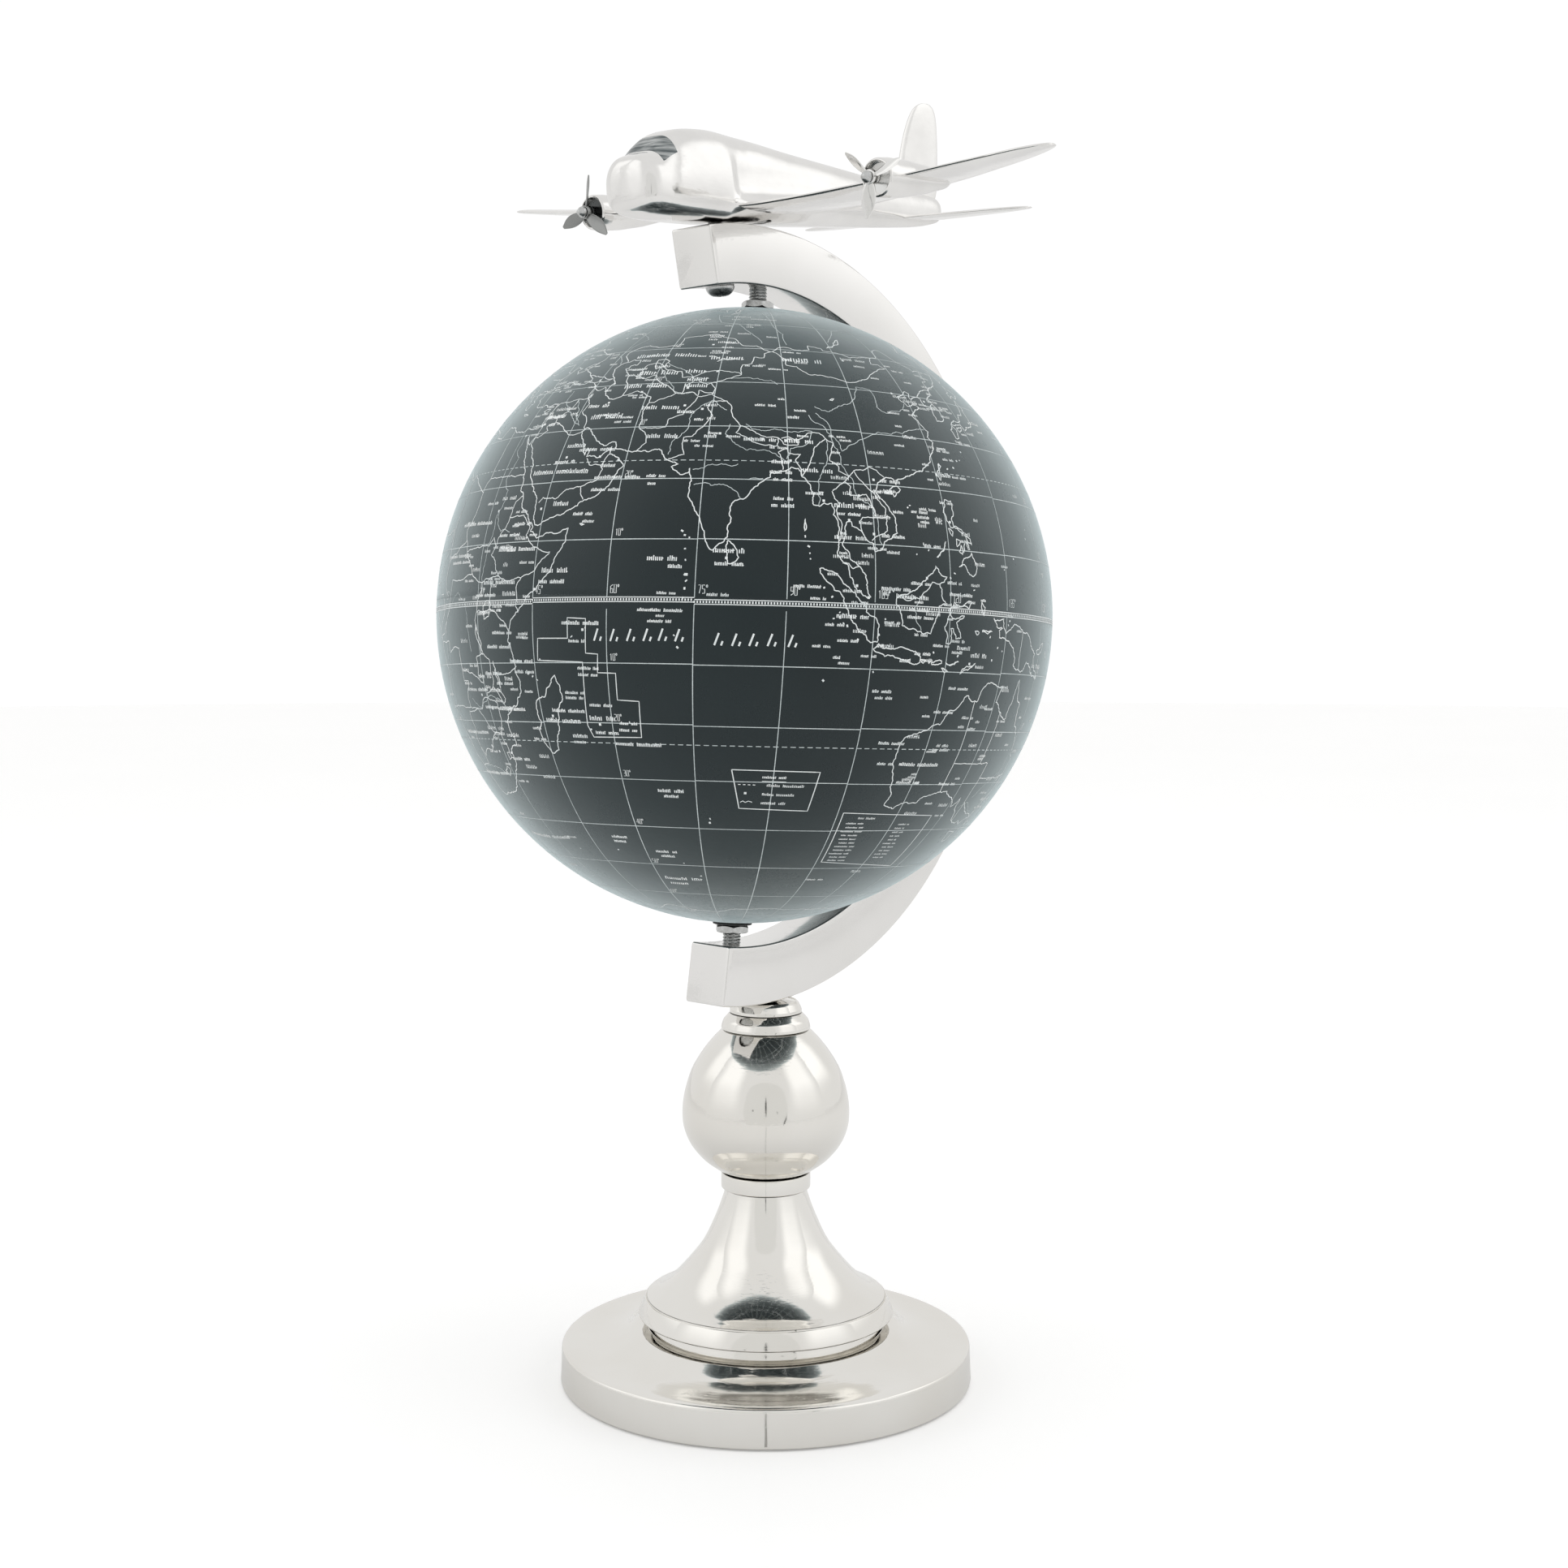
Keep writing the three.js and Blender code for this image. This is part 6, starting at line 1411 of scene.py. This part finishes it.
def rays(ob, camera=False, glossy=False, diffuse=False, shadow=False):
    ob.visible_camera = camera
    ob.visible_glossy = glossy
    ob.visible_diffuse = diffuse
    ob.visible_transmission = camera
    ob.visible_shadow = shadow


# the pale table as it is looked at, and the same table as it lights the object
table = floor_paint("table_paint", 0.93)
table.b.inputs["Emission Color"].default_value = (1, 1, 1, 1)
table.b.inputs["Emission Strength"].default_value = 0.2
rays(disc("table", 5.9, 0, table.m), camera=True)
rays(disc("table_bounce", 5.9, -0.0004, floor_paint("table_bounce_paint", 0.86).m), glossy=True, diffuse=True)


def glow(name, color, strength, edge=None, w=1.0, h=1.0):
    """Even light; with edge given it fades softly to that strength at the rim."""
    m = bpy.data.materials.new(name)
    m.use_nodes = True
    t = m.node_tree
    t.nodes.clear()
    o = t.nodes.new("ShaderNodeOutputMaterial")
    e = t.nodes.new("ShaderNodeEmission")
    e.inputs[0].default_value = (*color, 1)
    e.inputs[1].default_value = strength
    t.links.new(e.outputs[0], o.inputs[0])
    if edge is not None:
        tc = t.nodes.new("ShaderNodeTexCoord")
        sep = t.nodes.new("ShaderNodeSeparateXYZ")
        t.links.new(tc.outputs["Object"], sep.inputs[0])
        outs = []
        for i, side in ((0, w), (1, h)):
            a = t.nodes.new("ShaderNodeMath")
            a.operation = "ABSOLUTE"
            t.links.new(sep.outputs[i], a.inputs[0])
            r = t.nodes.new("ShaderNodeMapRange")
            r.interpolation_type = "SMOOTHSTEP"
            r.inputs["From Min"].default_value = side / 2
            r.inputs["From Max"].default_value = side / 2 * (0.35 if i == 0 else 0.3)
            t.links.new(a.outputs[0], r.inputs["Value"])
            outs.append(r.outputs[0])
        mul = t.nodes.new("ShaderNodeMath")
        mul.operation = "MULTIPLY"
        t.links.new(outs[0], mul.inputs[0])
        t.links.new(outs[1], mul.inputs[1])
        r = t.nodes.new("ShaderNodeMapRange")
        r.inputs["To Min"].default_value = edge
        r.inputs["To Max"].default_value = strength
        t.links.new(mul.outputs[0], r.inputs["Value"])
        t.links.new(r.outputs[0], e.inputs[1])
    return m


TENT = 0.84
eye = Vector((-0.5292, -0.4900, 0.2503))
look = Vector((0.7337, 0.6794, 0.0))
right = Vector((0.6794, -0.7337, 0.0))
up = Vector((0, 0, 1))
aim = Vector((0, 0, 0.22))

# white backdrop all round
bm = bmesh.new()
bmesh.ops.create_uvsphere(bm, u_segments=48, v_segments=24, radius=6.0)
me = bpy.data.meshes.new("backdrop")
bm.to_mesh(me)
bm.free()
me.materials.append(glow("backdrop_white", (1, 1, 1), 1.02))
ob = bpy.data.objects.new("backdrop", me)
bpy.context.scene.collection.objects.link(ob)
rays(ob, camera=True)


def card(name, azimuth, dist, w, h, z, strength, edge=TENT, color=(1, 0.998, 0.99)):
    """Soft panel; azimuth from the viewing side, positive to the right."""
    d = -look * math.cos(rad(azimuth)) + right * math.sin(rad(azimuth))
    c = d * dist + up * z
    ob = plane(name, w, h, c, Vector((0, 0, z)), glow(name + "_light", color, strength, edge, w, h))
    rays(ob, glossy=True, diffuse=True)
    return ob


card("panel_left", -62, 1.3, 1.35, 2.6, 1.32, 1.16)
card("panel_right", 60, 1.3, 1.35, 2.6, 1.32, 1.16)
card("wall_right", 98, 1.7, 1.9, 2.4, 1.50, 1.22)
card("wall_left", -94, 1.7, 1.7, 2.4, 1.50, 1.14)


def flat_shape(name, pts, mat, z=None):
    """Polygon in the tent wall at the viewing side (x to the right, y up), or on the table."""
    me = bpy.data.meshes.new(name)
    if z is None:
        co = [tuple(eye - look * 0.01 + right * x + up * y) for x, y in pts]
    else:
        co = [tuple(-look * y + right * x + up * z) for x, y in pts]
    me.from_pydata(co, [], [tuple(range(len(co)))])
    me.materials.append(mat)
    ob = bpy.data.objects.new(name, me)
    bpy.context.scene.collection.objects.link(ob)
    rays(ob, glossy=True)
    return ob


dark = glow("slit_dark", (1, 1, 0.97), 0.03)
grey = glow("slit_grey", (1, 1, 0.97), 0.35)
flat_shape("slit", [(0, 0.13), (-0.016, 0.05), (-0.012, -0.05), (0, -0.14), (0.010, -0.05), (0.012, 0.06)], dark)
arc = [(0.42 * math.cos(rad(a)), 0.42 * math.sin(rad(a))) for a in range(-50, -10, 4)]
arc += [((0.42 - 0.030 * math.sin(math.pi * (a + 50) / 36)) * math.cos(rad(a)), (0.42 - 0.030 * math.sin(math.pi * (a + 50) / 36)) * math.sin(rad(a))) for a in range(-18, -50, -4)]
flat_shape("lens_rim", arc, dark)
port = flat_shape("porthole", [(0.44 * math.cos(t), 0.44 * math.sin(t)) for t in np.linspace(0, 2 * math.pi, 48, False)], glow("porthole_grey", (1, 1, 0.985), 0.77))
port.location = -look * 0.02
for k, (x, y) in enumerate(((-0.235, -0.03), (0.20, -0.06))):
    flat_shape(f"clip_{k}", [(x + 0.012 * math.cos(t), y + 0.014 * math.sin(t)) for t in np.linspace(0, 2 * math.pi, 12, False)], dark)
flat_shape("slit_low", [(-0.0005, 0.071), (0.0005, 0.071), (0.0022, 0.60), (-0.0022, 0.60)], grey, 0.0002)

world = bpy.data.worlds.new("studio")
bpy.context.scene.world = world
world.use_nodes = True
bg = world.node_tree.nodes["Background"]
bg.inputs[0].default_value = (1, 0.997, 0.99, 1)
bg.inputs[1].default_value = TENT


def softbox(name, where, w, h, power, color=(1, 1, 1)):
    l = bpy.data.lights.new(name, "AREA")
    l.shape = "RECTANGLE"
    l.size, l.size_y = w, h
    l.energy = power
    l.color = color
    ob = bpy.data.objects.new(name, l)
    bpy.context.scene.collection.objects.link(ob)
    ob.location = where
    ob.rotation_euler = (aim - Vector(where)).to_track_quat("-Z", "Y").to_euler()
    ob.visible_camera = False
    ob.visible_glossy = False
    return ob


softbox("soft_top", aim + Vector((0, 0, 1.5)) - look * 0.1, 1.4, 1.4, 2.5)

cam_data = bpy.data.cameras.new("camera")
cam_data.lens = 50
cam_data.sensor_width = 36
cam_data.shift_x = 0.01165
cam_data.shift_y = -0.1053
cam_data.clip_start = 0.01
cam = bpy.data.objects.new("camera", cam_data)
bpy.context.scene.collection.objects.link(cam)
cam.location = eye
cam.rotation_euler = look.to_track_quat("-Z", "Y").to_euler()
bpy.context.scene.camera = cam
bpy.context.scene.view_settings.view_transform = "Standard"
bpy.context.scene.view_settings.look = "None"
